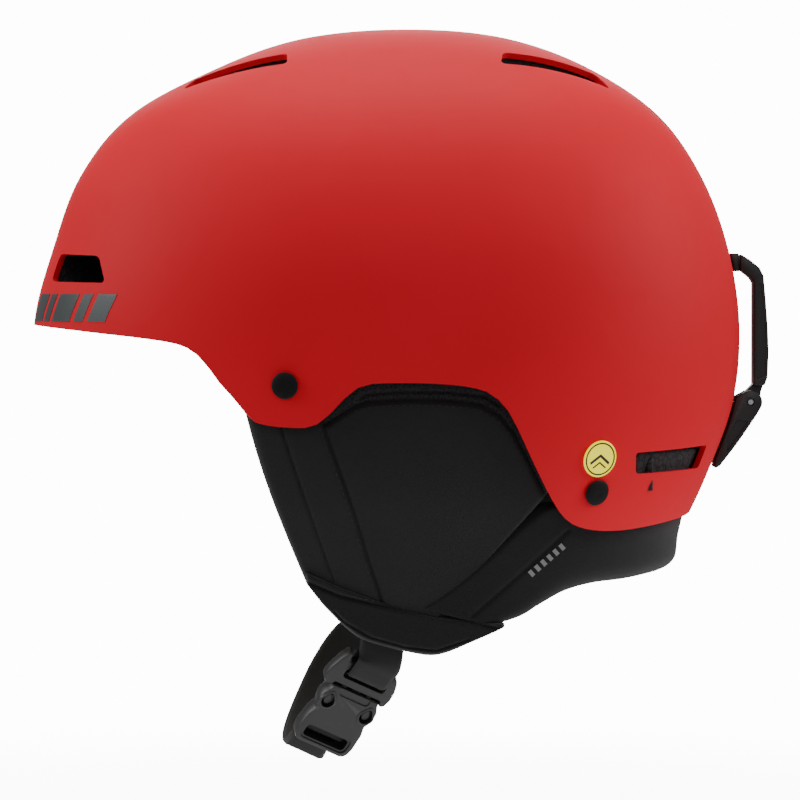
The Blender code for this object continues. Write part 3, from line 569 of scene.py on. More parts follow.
@dataclass(frozen=True)
class Dome:
    """The surface that every hard layer is drawn in from, in mm."""

    stations: Stations = (
        (0, 0, 0, 0),
        (7.5, 22, 16, 22),
        (15, 41.5, 31, 40),
        (30, 73.5, 56.5, 70.5),
        (45, 106.6, 78, 97),
        (60, 126, 94.5, 113.7),
        (75, 136.4, 104.8, 124),
        (90, 144, 108, 128.6),
        (105, 143, 107.3, 126.5),
        (120, 139, 103.5, 117.1),
        (135, 133, 97.5, 106),
        (150, 125, 90, 94),
    )
    height: float = 113.0
    top: float = 36.0
    middle: float = 8.0
    squareness: float = 2.25
    foam: tuple[float, float, float, float] = (27.0, 20.0, 25.0, 25.0)

    def drawn_in(self, depth: float, foam: float = 0.0) -> tuple[float, ...]:
        """How far a layer is drawn in at the front, side, rear and top."""
        return tuple(depth + foam * wall for wall in self.foam)

    def point(self, turn: float, dip: float, inset: Sequence[float] = (0, 0, 0, 0)) -> Vector:
        """A point of a layer.

        Args:
            turn: degrees about Z from the front.
            dip: degrees from the top.
            inset: how far the layer is drawn in, from drawn_in.

        Returns:
            The point in mm.
        """
        front, half, rear = between(self.stations, dip)
        full = self.stations[7]
        front *= 1 - inset[0] / full[1]
        half *= 1 - inset[1] / full[2]
        rear *= 1 - inset[2] / full[3]
        power = 2 / self.squareness
        sine, cosine = math.sin(math.radians(turn)), math.cos(math.radians(turn))
        reach = front if cosine > 0 else rear
        z = self.top - self.height + (self.height - inset[3]) * math.cos(math.radians(dip))
        return Vector(
            (half * signed_power(sine, power), self.middle - reach * signed_power(cosine, power), z)
        )

    def rim_dip(
        self, turn: float, inset: Sequence[float], rim: Sequence[Place], lift: float = 0.0,
        lowest: float = -999.0,
    ) -> float:
        """The dip at which a meridian meets a lower edge, given by fore-and-aft place and height."""
        low, high = 20.0, 150.0
        for _ in range(26):
            dip = (low + high) / 2
            point = self.point(turn, dip, inset)
            edge = between(rim, max(rim[0][0], min(rim[-1][0], point.y)))[0] + lift
            low, high = (dip, high) if point.z > max(edge, lowest) else (low, dip)
        return low

    def dip_at(self, height: float) -> float:
        """The dip of a height on the outer surface."""
        return math.degrees(math.acos((height - self.top + self.height) / self.height))

    def side_place(self, y: float, z: float) -> tuple[Vector, Vector]:
        """The outer surface's point and normal on the wearer's left, by fore-and-aft place and height."""
        dip, low, high = self.dip_at(z), 0.0, 180.0
        for _ in range(30):
            turn = (low + high) / 2
            low, high = (turn, high) if self.point(turn, dip).y < y else (low, turn)
        here = self.point(turn, dip)
        normal = (self.point(turn, dip + 1) - here).cross(self.point(turn + 1, dip) - here)
        return here, normal.normalized()


@dataclass(frozen=True)
class SoftForm:
    """The surface the soft goods below the shell lie on, in mm: height, half width, reach rearward."""

    stations: Stations = (
        (-208, 76, 90),
        (-185, 79.5, 98),
        (-170, 83.5, 103),
        (-158, 88, 104.6),
        (-140, 95.5, 109.5),
        (-118, 101, 117.5),
        (-100, 103, 121),
        (-88, 103.5, 123),
    )
    front: float = 135.0
    middle: float = 8.0
    squareness: float = 2.25

    def side(self, y: float, z: float, depth: float) -> Vector:
        """The surface's point on the wearer's left, drawn in by depth."""
        half, rear = between(self.stations, z)
        reach = (rear if y > self.middle else self.front) - depth
        share = min(1.0, abs(y - self.middle) / reach)
        return Vector(((half - depth) * (1 - share**self.squareness) ** (1 / self.squareness), y, z))

    def around(self, turn: float, height: float, depth: float) -> Vector:
        """The surface's point at a turn from the rear, in degrees, and a height, drawn in by depth."""
        half, rear = between(self.stations, height)
        power = 2 / self.squareness
        sine, cosine = math.sin(math.radians(turn)), math.cos(math.radians(turn))
        reach = rear - depth if cosine > 0 else self.front - depth
        x = (half - depth) * signed_power(sine, power)
        return Vector((x, self.middle + reach * signed_power(cosine, power), height))


DOME = Dome()
SOFT = SoftForm()


# ---------------------------------------------------------------- mesh making
def finished(name: str, bm: BMesh, finish: Finish, sharp: float | None = None) -> Object:
    """Turns a bmesh in mm into a piece.

    Args:
        name: the piece's name.
        bm: its mesh, which is used up.
        finish: its finish.
        sharp: the angle in degrees past which an edge is shown sharp.

    Returns:
        The object, at the origin, with its place in its mesh.
    """
    bmesh.ops.scale(bm, vec=(MM, MM, MM), verts=bm.verts)
    mesh = bpy.data.meshes.new(name)
    bm.to_mesh(mesh)
    bm.free()
    mesh.shade_smooth()
    if sharp is not None:
        mesh.set_sharp_from_angle(angle=math.radians(sharp))
    mesh.materials.append(finish.material())
    made = bpy.data.objects.new(name, mesh)
    bpy.context.scene.collection.objects.link(made)
    return made


def add_grid(
    bm: BMesh, columns: int, rows: int, place: Callable[[float, float], Vector], size: Place = (1.0, 1.0)
) -> list[BMVert]:
    """Adds a grid laid on a surface, with a map in metres.

    Args:
        bm: the mesh to add to.
        columns: faces across.
        rows: faces down.
        place: gives the point for a share across and a share down.
        size: the grid's width and height in mm, for its map.

    Returns:
        The new vertices.
    """
    uv = bm.loops.layers.uv.verify()
    made = bmesh.ops.create_grid(bm, x_segments=columns, y_segments=rows, size=0.5)["verts"]
    faces = {face for vert in made for face in vert.link_faces}
    for face in faces:
        for loop in face.loops:
            co = loop.vert.co
            loop[uv].uv = (co.x * size[0] * MM, (co.y + 0.5) * size[1] * MM)
    for vert in made:
        vert.co = place(vert.co.x + 0.5, vert.co.y + 0.5)
    return made


def weld(bm: BMesh, gap: float = 0.004) -> None:
    """Joins vertices that meet and points every face out."""
    bmesh.ops.remove_doubles(bm, verts=bm.verts, dist=gap)
    bmesh.ops.recalc_face_normals(bm, faces=bm.faces)


def edge_fall(share: float, length: float, rounds: Place) -> float:
    """How full a pad is at a share across: 0 at its edges and 1 past the rounding at its start or end."""
    reach = min(1.0, share * length / rounds[0], (1 - share) * length / rounds[1])
    return max(0.0, 1 - (1 - reach) ** 2.6) ** 0.5


def crossing(
    bm: BMesh, outline: Sequence[Place], low: float, high: float, round_corners: float = 0.0, steps: int = 3
) -> None:
    """Adds a flat outline in x and y, rounded at its corners and extruded along z.

    Args:
        bm: the mesh to add to.
        outline: its corners.
        low: the lower z.
        high: the upper z.
        round_corners: the corners' rounding.
        steps: segments in each rounding.
    """
    face = bm.faces.new([bm.verts.new((x, y, low)) for x, y in outline])
    if round_corners:
        bmesh.ops.bevel(
            bm, geom=list(face.verts), affect="VERTICES", offset=round_corners,
            segments=steps, profile=0.5, material=-1
        )
        bm.faces.ensure_lookup_table()
        face = bm.faces[-1]
    grown = bmesh.ops.extrude_face_region(bm, geom=[face])
    top = [item for item in grown["geom"] if isinstance(item, BMVert)]
    bmesh.ops.translate(bm, vec=(0, 0, high - low), verts=top)
    bmesh.ops.recalc_face_normals(bm, faces=bm.faces)


def soften(bm: BMesh, width: float, segments: int = 2, sharper_than: float = 35.0) -> None:
    """Bevels the edges that turn by more than an angle in degrees."""
    limit = math.radians(sharper_than)
    edges = [e for e in bm.edges if len(e.link_faces) == 2 and e.calc_face_angle(0.0) > limit]
    bmesh.ops.bevel(
        bm, geom=edges, affect="EDGES", offset=width, offset_type="OFFSET", segments=segments, profile=0.5,
        material=-1, clamp_overlap=True,
    )


def frame_at(point: Vector, outward: Vector) -> Matrix:
    """A matrix whose z axis is outward and whose origin is the point."""
    z = Vector(outward).normalized()
    x = Vector((0, 0, 1)).cross(z)
    x = x.normalized() if x.length > 0.01 else Vector((1, 0, 0))
    y = z.cross(x)
    return Matrix(
        ((x.x, y.x, z.x, point.x), (x.y, y.y, z.y, point.y), (x.z, y.z, z.z, point.z), (0, 0, 0, 1))
    )


def centre_plane() -> Matrix:
    """Turns an outline's x and y into Y and Z, and its z into X."""
    return Matrix(((0, 0, 1, 0), (1, 0, 0, 0), (0, 1, 0, 0), (0, 0, 0, 1)))


def settle(obj: Object) -> Object:
    """Applies a piece's modifiers to its mesh."""
    bpy.context.view_layer.update()
    graph = bpy.context.evaluated_depsgraph_get()
    mesh = bpy.data.meshes.new_from_object(
        obj.evaluated_get(graph), preserve_all_data_layers=True, depsgraph=graph
    )
    obj.modifiers.clear()
    old, obj.data = obj.data, mesh
    mesh.name = old.name
    bpy.data.meshes.remove(old)
    return obj


def cut(obj: Object, cutters: Iterable[Object], operation: str = "DIFFERENCE") -> Object:
    """Cuts the cutters out of a piece, or joins them to it, and removes them."""
    cutters = list(cutters)
    for cutter in cutters:
        modifier = obj.modifiers.new("cut", "BOOLEAN")
        modifier.operation, modifier.solver, modifier.object = operation, "EXACT", cutter
    settle(obj)
    for cutter in cutters:
        bpy.data.objects.remove(cutter)
    return obj


def edge_break(obj: Object, width: float, angle: float = 40.0, segments: int = 2) -> Object:
    """Breaks the sharp edges of a cut piece and keeps the shading of its faces."""
    modifier = obj.modifiers.new("edges", "BEVEL")
    modifier.width, modifier.segments, modifier.limit_method = width * MM, segments, "ANGLE"
    modifier.angle_limit, modifier.harden_normals = math.radians(angle), True
    modifier.use_clamp_overlap = True
    return settle(obj)


def mirrored(obj: Object, name: str) -> Object:
    """A mirror image of a piece across the centre plane."""
    bm = bmesh.new()
    bm.from_mesh(obj.data)
    bmesh.ops.scale(bm, vec=(-1, 1, 1), verts=bm.verts)
    bmesh.ops.recalc_face_normals(bm, faces=bm.faces)
    mesh = obj.data.copy()
    mesh.name = name
    bm.to_mesh(mesh)
    bm.free()
    made = bpy.data.objects.new(name, mesh)
    bpy.context.scene.collection.objects.link(made)
    return made


def place_piece(obj: Object, body: Body, slot: Slot, *nodes: str) -> Object:
    """Lets a piece ride a body and stands it for CAD nodes."""
    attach(obj, body.value)
    if nodes:
        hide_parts(*nodes)
    LOG.info("%s rides %s", obj.name, body.value)
    return obj


# ---------------------------------------------------------------- soft making
@dataclass
class Pillow:
    """A padded form between a low and a high line on a surface, pinched all round."""

    surface: Callable[[float, float, float], Vector]
    spans: Sequence[Span]
    depth: float
    wall: float
    columns: int = 72
    rows: int = 56
    width: float = 110.0
    height: float = 80.0
    side_rounds: Place = (3.0, 3.0)
    end_rounds: Place = (3.0, 3.0)
    bulge: float = 0.0

    def spot(self, across: float, up: float) -> tuple[float, float]:
        """The surface's two coordinates at a share across and up."""
        low = along([span[0] for span in self.spans], across)
        high = along([span[1] for span in self.spans], across)
        first, second = (a + (b - a) * up for a, b in zip(low, high))
        return first - self.bulge * math.sin(math.pi * 0.72 * up) * (1 - across) ** 5, second

    def point(self, across: float, up: float, face: int) -> Vector:
        """A point of the outer face, for 1, or the inner face, for -1."""
        fall = edge_fall(across, self.width, self.side_rounds) * edge_fall(up, self.height, self.end_rounds)
        depth = self.depth + self.wall / 2 * (1 - face * fall)
        return self.surface(*self.spot(across, up), depth)

    def mesh(self) -> BMesh:
        """Both faces, joined round their edge."""
        bm = bmesh.new()
        for face in (1, -1):
            add_grid(
                bm, self.columns, self.rows, lambda a, u, f=face: self.point(a, u, f),
                (self.width, self.height),
            )
        weld(bm)
        return bm


@dataclass
class Upholstery:
    """Cloth under a little pressure, held along its seams."""

    pressure: float = 3.0
    cap: float = 4.0
    frames: int = 20
    stiffness: float = 18.0

    def puff(self, obj: Object, held: Callable[[Vector], float]) -> Object:
        """Swells a piece between its seams.

        Args:
            obj: a closed mesh.
            held: gives how firmly a point is held, from 0 to 1, for a place in mm.

        Returns:
            The piece, with the swollen shape in its mesh.
        """
        group = obj.vertex_groups.new(name="held")
        rest = [vert.co.copy() for vert in obj.data.vertices]
        for index, co in enumerate(rest):
            group.add([index], max(0.0, min(1.0, held(co / MM))), "REPLACE")
        modifier = obj.modifiers.new("cloth", "CLOTH")
        cloth = modifier.settings
        cloth.quality, cloth.mass = 4, 0.15
        cloth.tension_stiffness = cloth.compression_stiffness = self.stiffness
        cloth.shear_stiffness, cloth.bending_stiffness = self.stiffness / 2, 0.6
        cloth.use_pressure, cloth.uniform_pressure_force = True, self.pressure
        cloth.vertex_group_mass, cloth.pin_stiffness = "held", 1.0
        cloth.effector_weights.gravity = 0.0
        modifier.point_cache.frame_start, modifier.point_cache.frame_end = 1, self.frames
        scene = bpy.context.scene
        for frame in range(1, self.frames + 1):
            scene.frame_set(frame)
        graph = bpy.context.evaluated_depsgraph_get()
        swollen = [vert.co.copy() for vert in obj.evaluated_get(graph).data.vertices]
        obj.modifiers.clear()
        obj.vertex_groups.clear()
        scene.frame_set(1)
        for vert, start, end in zip(obj.data.vertices, rest, swollen):
            move = end - start
            limit = self.cap * MM
            vert.co = start + (move * (limit / move.length) if move.length > limit else move)
        obj.data.update()
        return obj


def distance_to_line(place: Place, line: Sequence[Place]) -> float:
    """The distance from a place to a line of places in the same plane."""
    best = 1e9
    spot = Vector(place)
    for a, b in zip(line, line[1:]):
        start, run = Vector(a), Vector(b) - Vector(a)
        share = max(0.0, min(1.0, (spot - start).dot(run) / run.length_squared))
        best = min(best, (spot - start - run * share).length)
    return best


def carve(
    obj: Object, distance: Callable[[Vector], float], width: float, depth: float,
    middle: Callable[[Vector], Vector],
) -> None:
    """Sinks seams into a piece and stores how near each point is to one, for the knit finish to paint as
    shade.

    Args:
        obj: the piece.
        distance: gives a place's distance from the nearest seam, in mm.
        width: half the seam's width in mm.
        depth: how deep it sinks in mm.
        middle: gives the direction in which a place sinks.
    """
    mesh = obj.data
    # The stored nearness drives the painted shade that the knit finish puts in the sunk seams.
    seam = mesh.attributes.get("seam") or mesh.attributes.new("seam", "FLOAT", "POINT")
    for vert, value in zip(mesh.vertices, seam.data):
        place = vert.co / MM
        near = math.exp(-((distance(place) / width) ** 2))
        value.value = near
        vert.co += middle(place) * (depth * near * MM)
    mesh.update()


def densify(obj: Object, levels: int = 1) -> Object:
    """Subdivides a piece smoothly and applies it."""
    modifier = obj.modifiers.new("smooth", "SUBSURF")
    modifier.levels = modifier.render_levels = levels
    return settle(obj)


@dataclass(frozen=True)
class StitchRun:
    """A row of thread stitches laid along a line on a piece."""

    pitch: float = 3.1
    length: float = 2.1
    radius: float = 0.24

    def lay(
        self, name: str, lines: Sequence[Sequence[Vector]], on: Object, from_side: Vector, lift: float = 0.08
    ) -> Object:
        """Lays stitches along lines, dropped on to a piece.

        Args:
            name: the name of the stitches' piece.
            lines: points along each row, in mm.
            on: the piece that they lie on.
            from_side: the direction from which they are dropped on to it.
            lift: how far each stands above the cloth.

        Returns:
            The stitches as one piece.
        """
        tree = BVHTree.FromObject(on, bpy.context.evaluated_depsgraph_get())
        bm = bmesh.new()
        for line in lines:
            rows = smooth_path(line, self.pitch / 2)
            for a, b in zip(rows[::2], rows[1::2]):
                ends = []
                for point in (a, b):
                    start = (point + from_side * 40) * MM
                    hit, normal, _, _ = tree.ray_cast(start, -from_side)
                    if hit is not None:
                        ends.append(hit / MM + normal * lift)
                if len(ends) == 2 and (ends[1] - ends[0]).length < self.pitch * 1.5:
                    self.one(bm, ends[0], ends[1])
        return finished(name, bm, Finishes.THREAD)

    def one(self, bm: BMesh, start: Vector, end: Vector) -> None:
        """Adds one stitch between two points."""
        middle, run = (start + end) / 2, end - start
        turn = run.to_track_quat("Z", "Y").to_matrix().to_4x4()
        squeeze = Matrix.Diagonal((self.radius, self.radius, self.length / 2, 1.0))
        bmesh.ops.create_icosphere(
            bm, subdivisions=1, radius=1.0, matrix=Matrix.Translation(middle) @ turn @ squeeze
        )


@dataclass
class Ribbon:
    """A flat strap along a path, with rounded selvedges and a map in metres."""

    path: Sequence[Sequence[float]]
    across: Sequence[Sequence[float]]
    width: float
    wall: float
    step: float = 1.2
    strips: int = 10

    def mesh(self) -> BMesh:
        """The strap as a closed mesh in mm."""
        reach = [0.0]
        for a, b in zip(self.path, self.path[1:]):
            reach.append(reach[-1] + (Vector(b) - Vector(a)).length)
        length = reach[-1]
        middle = [(r, *p) for r, p in zip(reach, self.path)]
        wide = [(r, *Vector(w).normalized()) for r, w in zip(reach, self.across)]
        count = max(4, round(length / self.step))
        bm = bmesh.new()

        def spot(side: float, share: float, face: int) -> Vector:
            """A point of the strap's face."""
            here = length * share
            ahead = Vector(between(middle, min(length, here + 0.2)))
            ahead -= Vector(between(middle, max(0.0, here - 0.2)))
            ahead.normalize()
            cross = Vector(between(wide, here))
            cross = (cross - ahead * cross.dot(ahead)).normalized()
            half = self.width / 2
            reach_out = (side * 2 - 1) * half
            edge = min(1.0, (1 - abs(side * 2 - 1)) * half / (self.wall * 0.9))
            thick = self.wall / 2 * math.sqrt(max(0.0, 1 - (1 - edge) ** 2))
            thick *= 1.0 if 0 < share < 1 else 0.35
            return Vector(between(middle, here)) + cross * reach_out + ahead.cross(cross) * (thick * face)

        for face in (1, -1):
            add_grid(bm, self.strips, count, lambda a, u, f=face: spot(a, u, f), (self.width, length))
        rims = [edge for edge in bm.edges if edge.is_boundary]
        bmesh.ops.bridge_loops(bm, edges=rims)
        weld(bm, 0.02)
        return bm


# ---------------------------------------------------------------- shell, foam and liner
@dataclass(frozen=True)
class Vent:
    """An opening through the dome, by its four corners on the shell and the way its channel runs inward."""

    name: str
    corners: tuple[tuple[float, float, float], ...]
    way: tuple[float, float, float]
    rounding: float = 2.4

    def block(self, side: Side, grow: float, outward: float, inward: float) -> Object:
        """A block of the vent's outline, grown all round.

        Args:
            side: the wearer's left or right.
            grow: how far it is grown, in mm.
            outward: how far it stands out of the shell.
            inward: how far it reaches in.

        Returns:
            The block.
        """
        corners = [Vector((side.value * x, y, z)) for x, y, z in self.corners]
        way = Vector((side.value * self.way[0], self.way[1], self.way[2])).normalized()
        middle = sum(corners, Vector()) / 4
        long_way = (corners[1] - corners[0] + corners[2] - corners[3]).normalized()
        long_way = (long_way - way * long_way.dot(way)).normalized()
        short_way = way.cross(long_way)
        flat = [((c - middle).dot(long_way), (c - middle).dot(short_way)) for c in corners]
        flat = [(x + math.copysign(grow, x), y + math.copysign(grow, y)) for x, y in flat]
        bm = bmesh.new()
        crossing(bm, flat, -outward, inward, self.rounding + grow, 4)
        axes = Matrix((long_way, short_way, way)).transposed().to_4x4()
        bmesh.ops.transform(bm, matrix=Matrix.Translation(middle) @ axes, verts=bm.verts)
        bmesh.ops.recalc_face_normals(bm, faces=bm.faces)
        return finished("cutter", bm, Finishes.SHELL)


@dataclass
class DomeLayer:
    """A bowl between two drawn-in domes, down to a lower edge."""

    name: str
    outer: Sequence[float]
    wall: Sequence[float]
    rim: Sequence[Place]
    finish: Finish
    lift: float = 0.0
    lowest: float = -999.0
    columns: int = 168
    rows: int = 60

    def make(self) -> Object:
        """The bowl as a closed piece."""
        bm = bmesh.new()
        for inset in (self.outer, tuple(a + b for a, b in zip(self.outer, self.wall))):
            edges: dict[int, float] = {}

            def spot(
                across: float, down: float, inset: Sequence[float] = inset, edges: dict[int, float] = edges
            ) -> Vector:
                """A point of one face of the bowl."""
                column = round(across * self.columns) % self.columns
                turn = FULL_TURN * column / self.columns
                if column not in edges:
                    edges[column] = DOME.rim_dip(turn, inset, self.rim, self.lift, self.lowest)
                return DOME.point(turn, edges[column] * down, inset)

            add_grid(bm, self.columns, self.rows, spot)
        bmesh.ops.remove_doubles(bm, verts=bm.verts, dist=0.004)
        rims = [edge for edge in bm.edges if edge.is_boundary]
        bmesh.ops.bridge_loops(bm, edges=rims)
        bmesh.ops.recalc_face_normals(bm, faces=bm.faces)
        return finished(self.name, bm, self.finish)


@dataclass
class HardLayers:
    """The shell, the foam and the slip liner, with the vents through them."""

    shell_wall: float = 2.2
    shell_gap: float = 0.9
    slip_gap: float = 2.2
    slip_wall: float = 0.9
    shell_rim: Sequence[Place] = (
        (-137, -78), (-112, -80.5), (-84, -83.6), (-74, -86), (-68, -90.5), (-62, -98.5), (-54, -107.3),
        (-50.5, -112), (-46, -114.3), (-36, -115.5), (-28, -115.3), (-22.5, -112.3), (-13, -102.7),
        (-8, -99.8), (0, -99), (22, -99.4), (36, -101.6), (42, -105.3), (46.5, -111), (56, -131),
        (62, -142.8), (66, -148.8), (71, -152.6), (80, -154.7), (92, -154.6), (112, -151.6), (120, -149.4),
    )
    foam_rim: Sequence[Place] = (
        (-137, -75.5), (-100, -78.5), (-84, -80.5), (-70, -84), (-60, -91), (-52, -98), (-44, -101.5),
        (-32, -102.5), (-22, -99.6), (-14, -93), (-6, -88), (8, -86.5), (26, -87.5), (38, -91), (47, -100),
        (53, -114), (58, -126), (64, -135), (72, -140), (82, -142), (95, -142), (118, -138),
    )
    slip_lift: float = 7.0
    slip_lowest: float = -104.0
    vents: Sequence[Vent] = (
        Vent(
            "front_vent", ((36, -124, -51), (64, -108, -51.8), (70.5, -105.5, -62), (35, -127.5, -61.5)),
            (-0.45, 0.89, 0.0),
        ),
        Vent(
            "front_top_vent", ((21, -74, 18), (37, -38, 27), (47, -38, 23), (31, -78, 13)),
            (-0.25, 0.3, -0.92),
        ),
        Vent(
            "rear_top_vent", ((41, 45, 27), (24, 80, 18.5), (34, 86, 12.5), (51, 44, 22.5)),
            (-0.3, -0.3, -0.9),
        ),
        Vent(
            "rear_vent",
            ((79.5, 93.6, -125.5), (41.6, 122.2, -123.6), (41.2, 118.8, -132.4), (76.4, 93.7, -133.5)),
            (-0.6, -0.8, 0.0), 1.4,
        ),
    )
    # The rear channel's low and high corners, the sill's bottom, top and wall, and the rib's X and Y ranges.
    channel: Sequence[Sequence[float]] = ((-79, 70, -150), (79, 140, -122.5))
    sill: tuple[float, float, float] = (-140.0, -125.6, 9.0)
    rib: tuple[float, float, float, float] = (60.0, 69.0, 98.0, 100.4)

    def cutters(self, vents: Iterable[Vent], grow: float, inward: float = 62.0) -> list[Object]:
        """Blocks for these vents on both sides."""
        return [vent.block(side, grow, 14.0, inward) for vent in vents for side in Side]

    def build_shell(self) -> Object:
        """The shell with its vents."""
        layer = DomeLayer(
            "shell", DOME.drawn_in(0), DOME.drawn_in(self.shell_wall), self.shell_rim, Finishes.SHELL,
            columns=192, rows=72,
        )
        shell = layer.make()
        cut(shell, self.cutters(self.vents, 0.0, 30.0))
        edge_break(shell, 0.7, 38.0)
        return place_piece(shell, Body.HELMET, Slot.SHELL, "outer_shell")

    def build_foam(self) -> Object:
        """The foam with its channels."""
        start = self.shell_wall + self.shell_gap
        layer = DomeLayer(
            "foam", DOME.drawn_in(start), DOME.drawn_in(0.0, 1.0), self.foam_rim, Finishes.FOAM,
            columns=144, rows=44,
        )
        foam = layer.make()
        low, high = self.channel
        bm = bmesh.new()
        outline = ((low[0], low[1]), (high[0], low[1]), (high[0], high[1]), (low[0], high[1]))
        crossing(bm, outline, low[2], high[2], 8.0, 4)
        cut(foam, [finished("cutter", bm, Finishes.FOAM)] + self.cutters(self.vents[:3], 1.3))
        edge_break(foam, 1.2, 40.0)
        return place_piece(foam, Body.HELMET, Slot.FOAM, "foam_liner")

    def build_sill(self) -> None:
        """The foam sill across the rear channel and its rib on each side, seen through the rear vents."""

        def surface(turn: float, dip: float, depth: float) -> Vector:
            """The shell's inside, drawn in."""
            return DOME.point(turn, dip, DOME.drawn_in(self.shell_wall + self.shell_gap + depth))

        low, high = DOME.dip_at(self.sill[0]), DOME.dip_at(self.sill[1])
        spans = [((turn, low), (turn, high)) for turn in (134, 150, 165, 180, 195, 210, 226)]
        form = Pillow(surface, spans, 0.0, self.sill[2], 60, 14, 130.0, 16.0, (2.0, 2.0), (2.0, 2.0))
        place_piece(finished("vent_sill", form.mesh(), Finishes.FOAM), Body.HELMET, Slot.FOAM)
        for side in Side:
            bm = bmesh.new()
            left, right, front, rear = self.rib
            crossing(
                bm, ((left, front), (right, front), (right, rear), (left, rear)), self.sill[0],
                self.channel[1][2] + 1.0, 0.6, 3,
            )
            soften(bm, 0.4)
            bmesh.ops.scale(bm, vec=(side.value, 1, 1), verts=bm.verts)
            bmesh.ops.recalc_face_normals(bm, faces=bm.faces)
            place_piece(finished(f"vent_rib_{side.word}", bm, Finishes.FOAM, 35.0), Body.HELMET, Slot.FOAM)

    def build_slip(self) -> Object:
        """The slip liner."""
        start = self.shell_wall + self.shell_gap + self.slip_gap
        layer = DomeLayer(
            "slip_sheet", DOME.drawn_in(start, 1.0), DOME.drawn_in(self.slip_wall), self.foam_rim,
            Finishes.SLIP, self.slip_lift, self.slip_lowest, 120, 36,
        )
        slip = layer.make()
        cut(slip, self.cutters(self.vents[:3], 4.0))
        edge_break(slip, 0.3, 40.0)
        return place_piece(slip, Body.SLIP, Slot.SLIP, "slip_liner")

    def build(self) -> None:
        """Builds every hard layer."""
        self.build_shell()
        self.build_foam()
        self.build_sill()
        self.build_slip()


def turned(bm: BMesh, profile: Sequence[Place], segments: int, matrix: Matrix) -> None:
    """Adds a profile of radius and height, turned about z and put in place. Its ends lie on the axis."""
    verts = [bm.verts.new((radius, 0, height)) for radius, height in profile]
    edges = [bm.edges.new(pair) for pair in zip(verts, verts[1:])]
    bmesh.ops.spin(
        bm, geom=verts + edges, cent=(0, 0, 0), axis=(0, 0, 1), dvec=(0, 0, 0), angle=math.tau,
        steps=segments, use_merge=True,
    )
    bmesh.ops.remove_doubles(bm, verts=bm.verts, dist=0.001)
    bmesh.ops.recalc_face_normals(bm, faces=bm.faces)
    bmesh.ops.transform(bm, matrix=matrix, verts=bm.verts)


@dataclass
class Fasteners:
    """The rivets, the badge and the raised marks on the front."""

    head: float = 5.0
    stand: float = 1.45
    stem: float = 2.4
    stem_length: float = 9.0
    play: float = 0.35
    places: dict[str, Place] = field(
        default_factory=lambda: {"front": (-37.0, -99.9), "rear": (78.5, -140.0)}
    )
    badge: Place = (79.5, -127.3)
    badge_radius: float = 7.0

    def rivet_profile(self) -> list[Place]:
        """The rivet's half section, from the stem's end to the dome's top."""
        rounds = [
            (self.head - 0.5 + 0.5 * math.sin(a), 0.5 - 0.5 * math.cos(a)) for a in (0.0, 0.5, 1.0, 1.57)
        ]
        dome = [
            (self.head * math.cos(a) * 0.995, 0.5 + (self.stand - 0.5) * math.sin(a))
            for a in (0.35, 0.7, 1.0, 1.25)
        ]
        rim = [(radius, height + self.play) for radius, height in rounds + dome]
        stem = [(0.0, -self.stem_length), (self.stem, -self.stem_length), (self.stem, self.play)]
        return stem + rim + [(0.9, self.stand + self.play - 0.12), (0.0, self.stand + self.play - 0.3)]

    def build_rivets(self) -> None:
        """Four domed rivets."""
        for end, (y, z) in self.places.items():
            point, normal = DOME.side_place(y, z)
            for side in Side:
                spot = Vector((side.value * point.x, point.y, point.z))
                way = Vector((side.value * normal.x, normal.y, normal.z))
                bm = bmesh.new()
                turned(bm, self.rivet_profile(), 48, frame_at(spot, way))
                rivet = finished(f"rivet_{end}_{side.word}", bm, Finishes.RIVET, 40.0)
                place_piece(rivet, Body.HELMET, Slot.PLASTIC, f"shell_rivet_{end}_{side.word}")

    def build_badge(self) -> None:
        """The round badge with its generic mark."""
        point, normal = DOME.side_place(*self.badge)
        bm = bmesh.new()
        uv = bm.loops.layers.uv.verify()
        low, high = self.play + 0.05, self.play + 0.5
        profile = [
            (0.0, low), (self.badge_radius, low), (self.badge_radius, high - 0.12),
            (self.badge_radius - 0.12, high),
        ]
        profile += [(self.badge_radius * share, high) for share in (0.75, 0.5, 0.25, 0.0)]
        turned(bm, profile, 64, Matrix.Identity(4))
        for face in bm.faces:
            for loop in face.loops:
                loop[uv].uv = (loop.vert.co.x / self.badge_radius, loop.vert.co.y / self.badge_radius)
        bmesh.ops.transform(bm, matrix=frame_at(point, normal), verts=bm.verts)
        badge = finished("badge", bm, Finishes.BADGE, 40.0)
        place_piece(badge, Body.HELMET, Slot.BADGE, "badge_left")

    def build_marks(self) -> None:
        """Plain slanted bars on the front, in place of lettering."""
        dips = (DOME.dip_at(-66.2), DOME.dip_at(-76.6))
        for index, (start, width) in enumerate(
            ((10.5, 7.5), (19.5, 3.0), (24.0, 7.5), (33.0, 3.0), (37.5, 5.0))
        ):

            def spot(
                across: float, down: float, face: float, start: float = start, width: float = width
            ) -> Vector:
                """A point of the bar's outer or inner face."""
                turn = start + width * across - 2.2 * down
                return DOME.point(turn, dips[0] + (dips[1] - dips[0]) * down, DOME.drawn_in(-face))

            bm = bmesh.new()
            for face in (0.16, 0.03):
                add_grid(bm, 10, 8, lambda a, u, f=face: spot(a, u, f))
            rims = [edge for edge in bm.edges if edge.is_boundary]
            bmesh.ops.bridge_loops(bm, edges=rims)
            bmesh.ops.recalc_face_normals(bm, faces=bm.faces)
            mark = finished(f"front_mark_{index + 1}", bm, Finishes.DECAL, 40.0)
            place_piece(mark, Body.HELMET, Slot.PLASTIC)

    def build(self) -> None:
        """Builds every fastener and mark."""
        self.build_rivets()
        self.build_badge()
        self.build_marks()


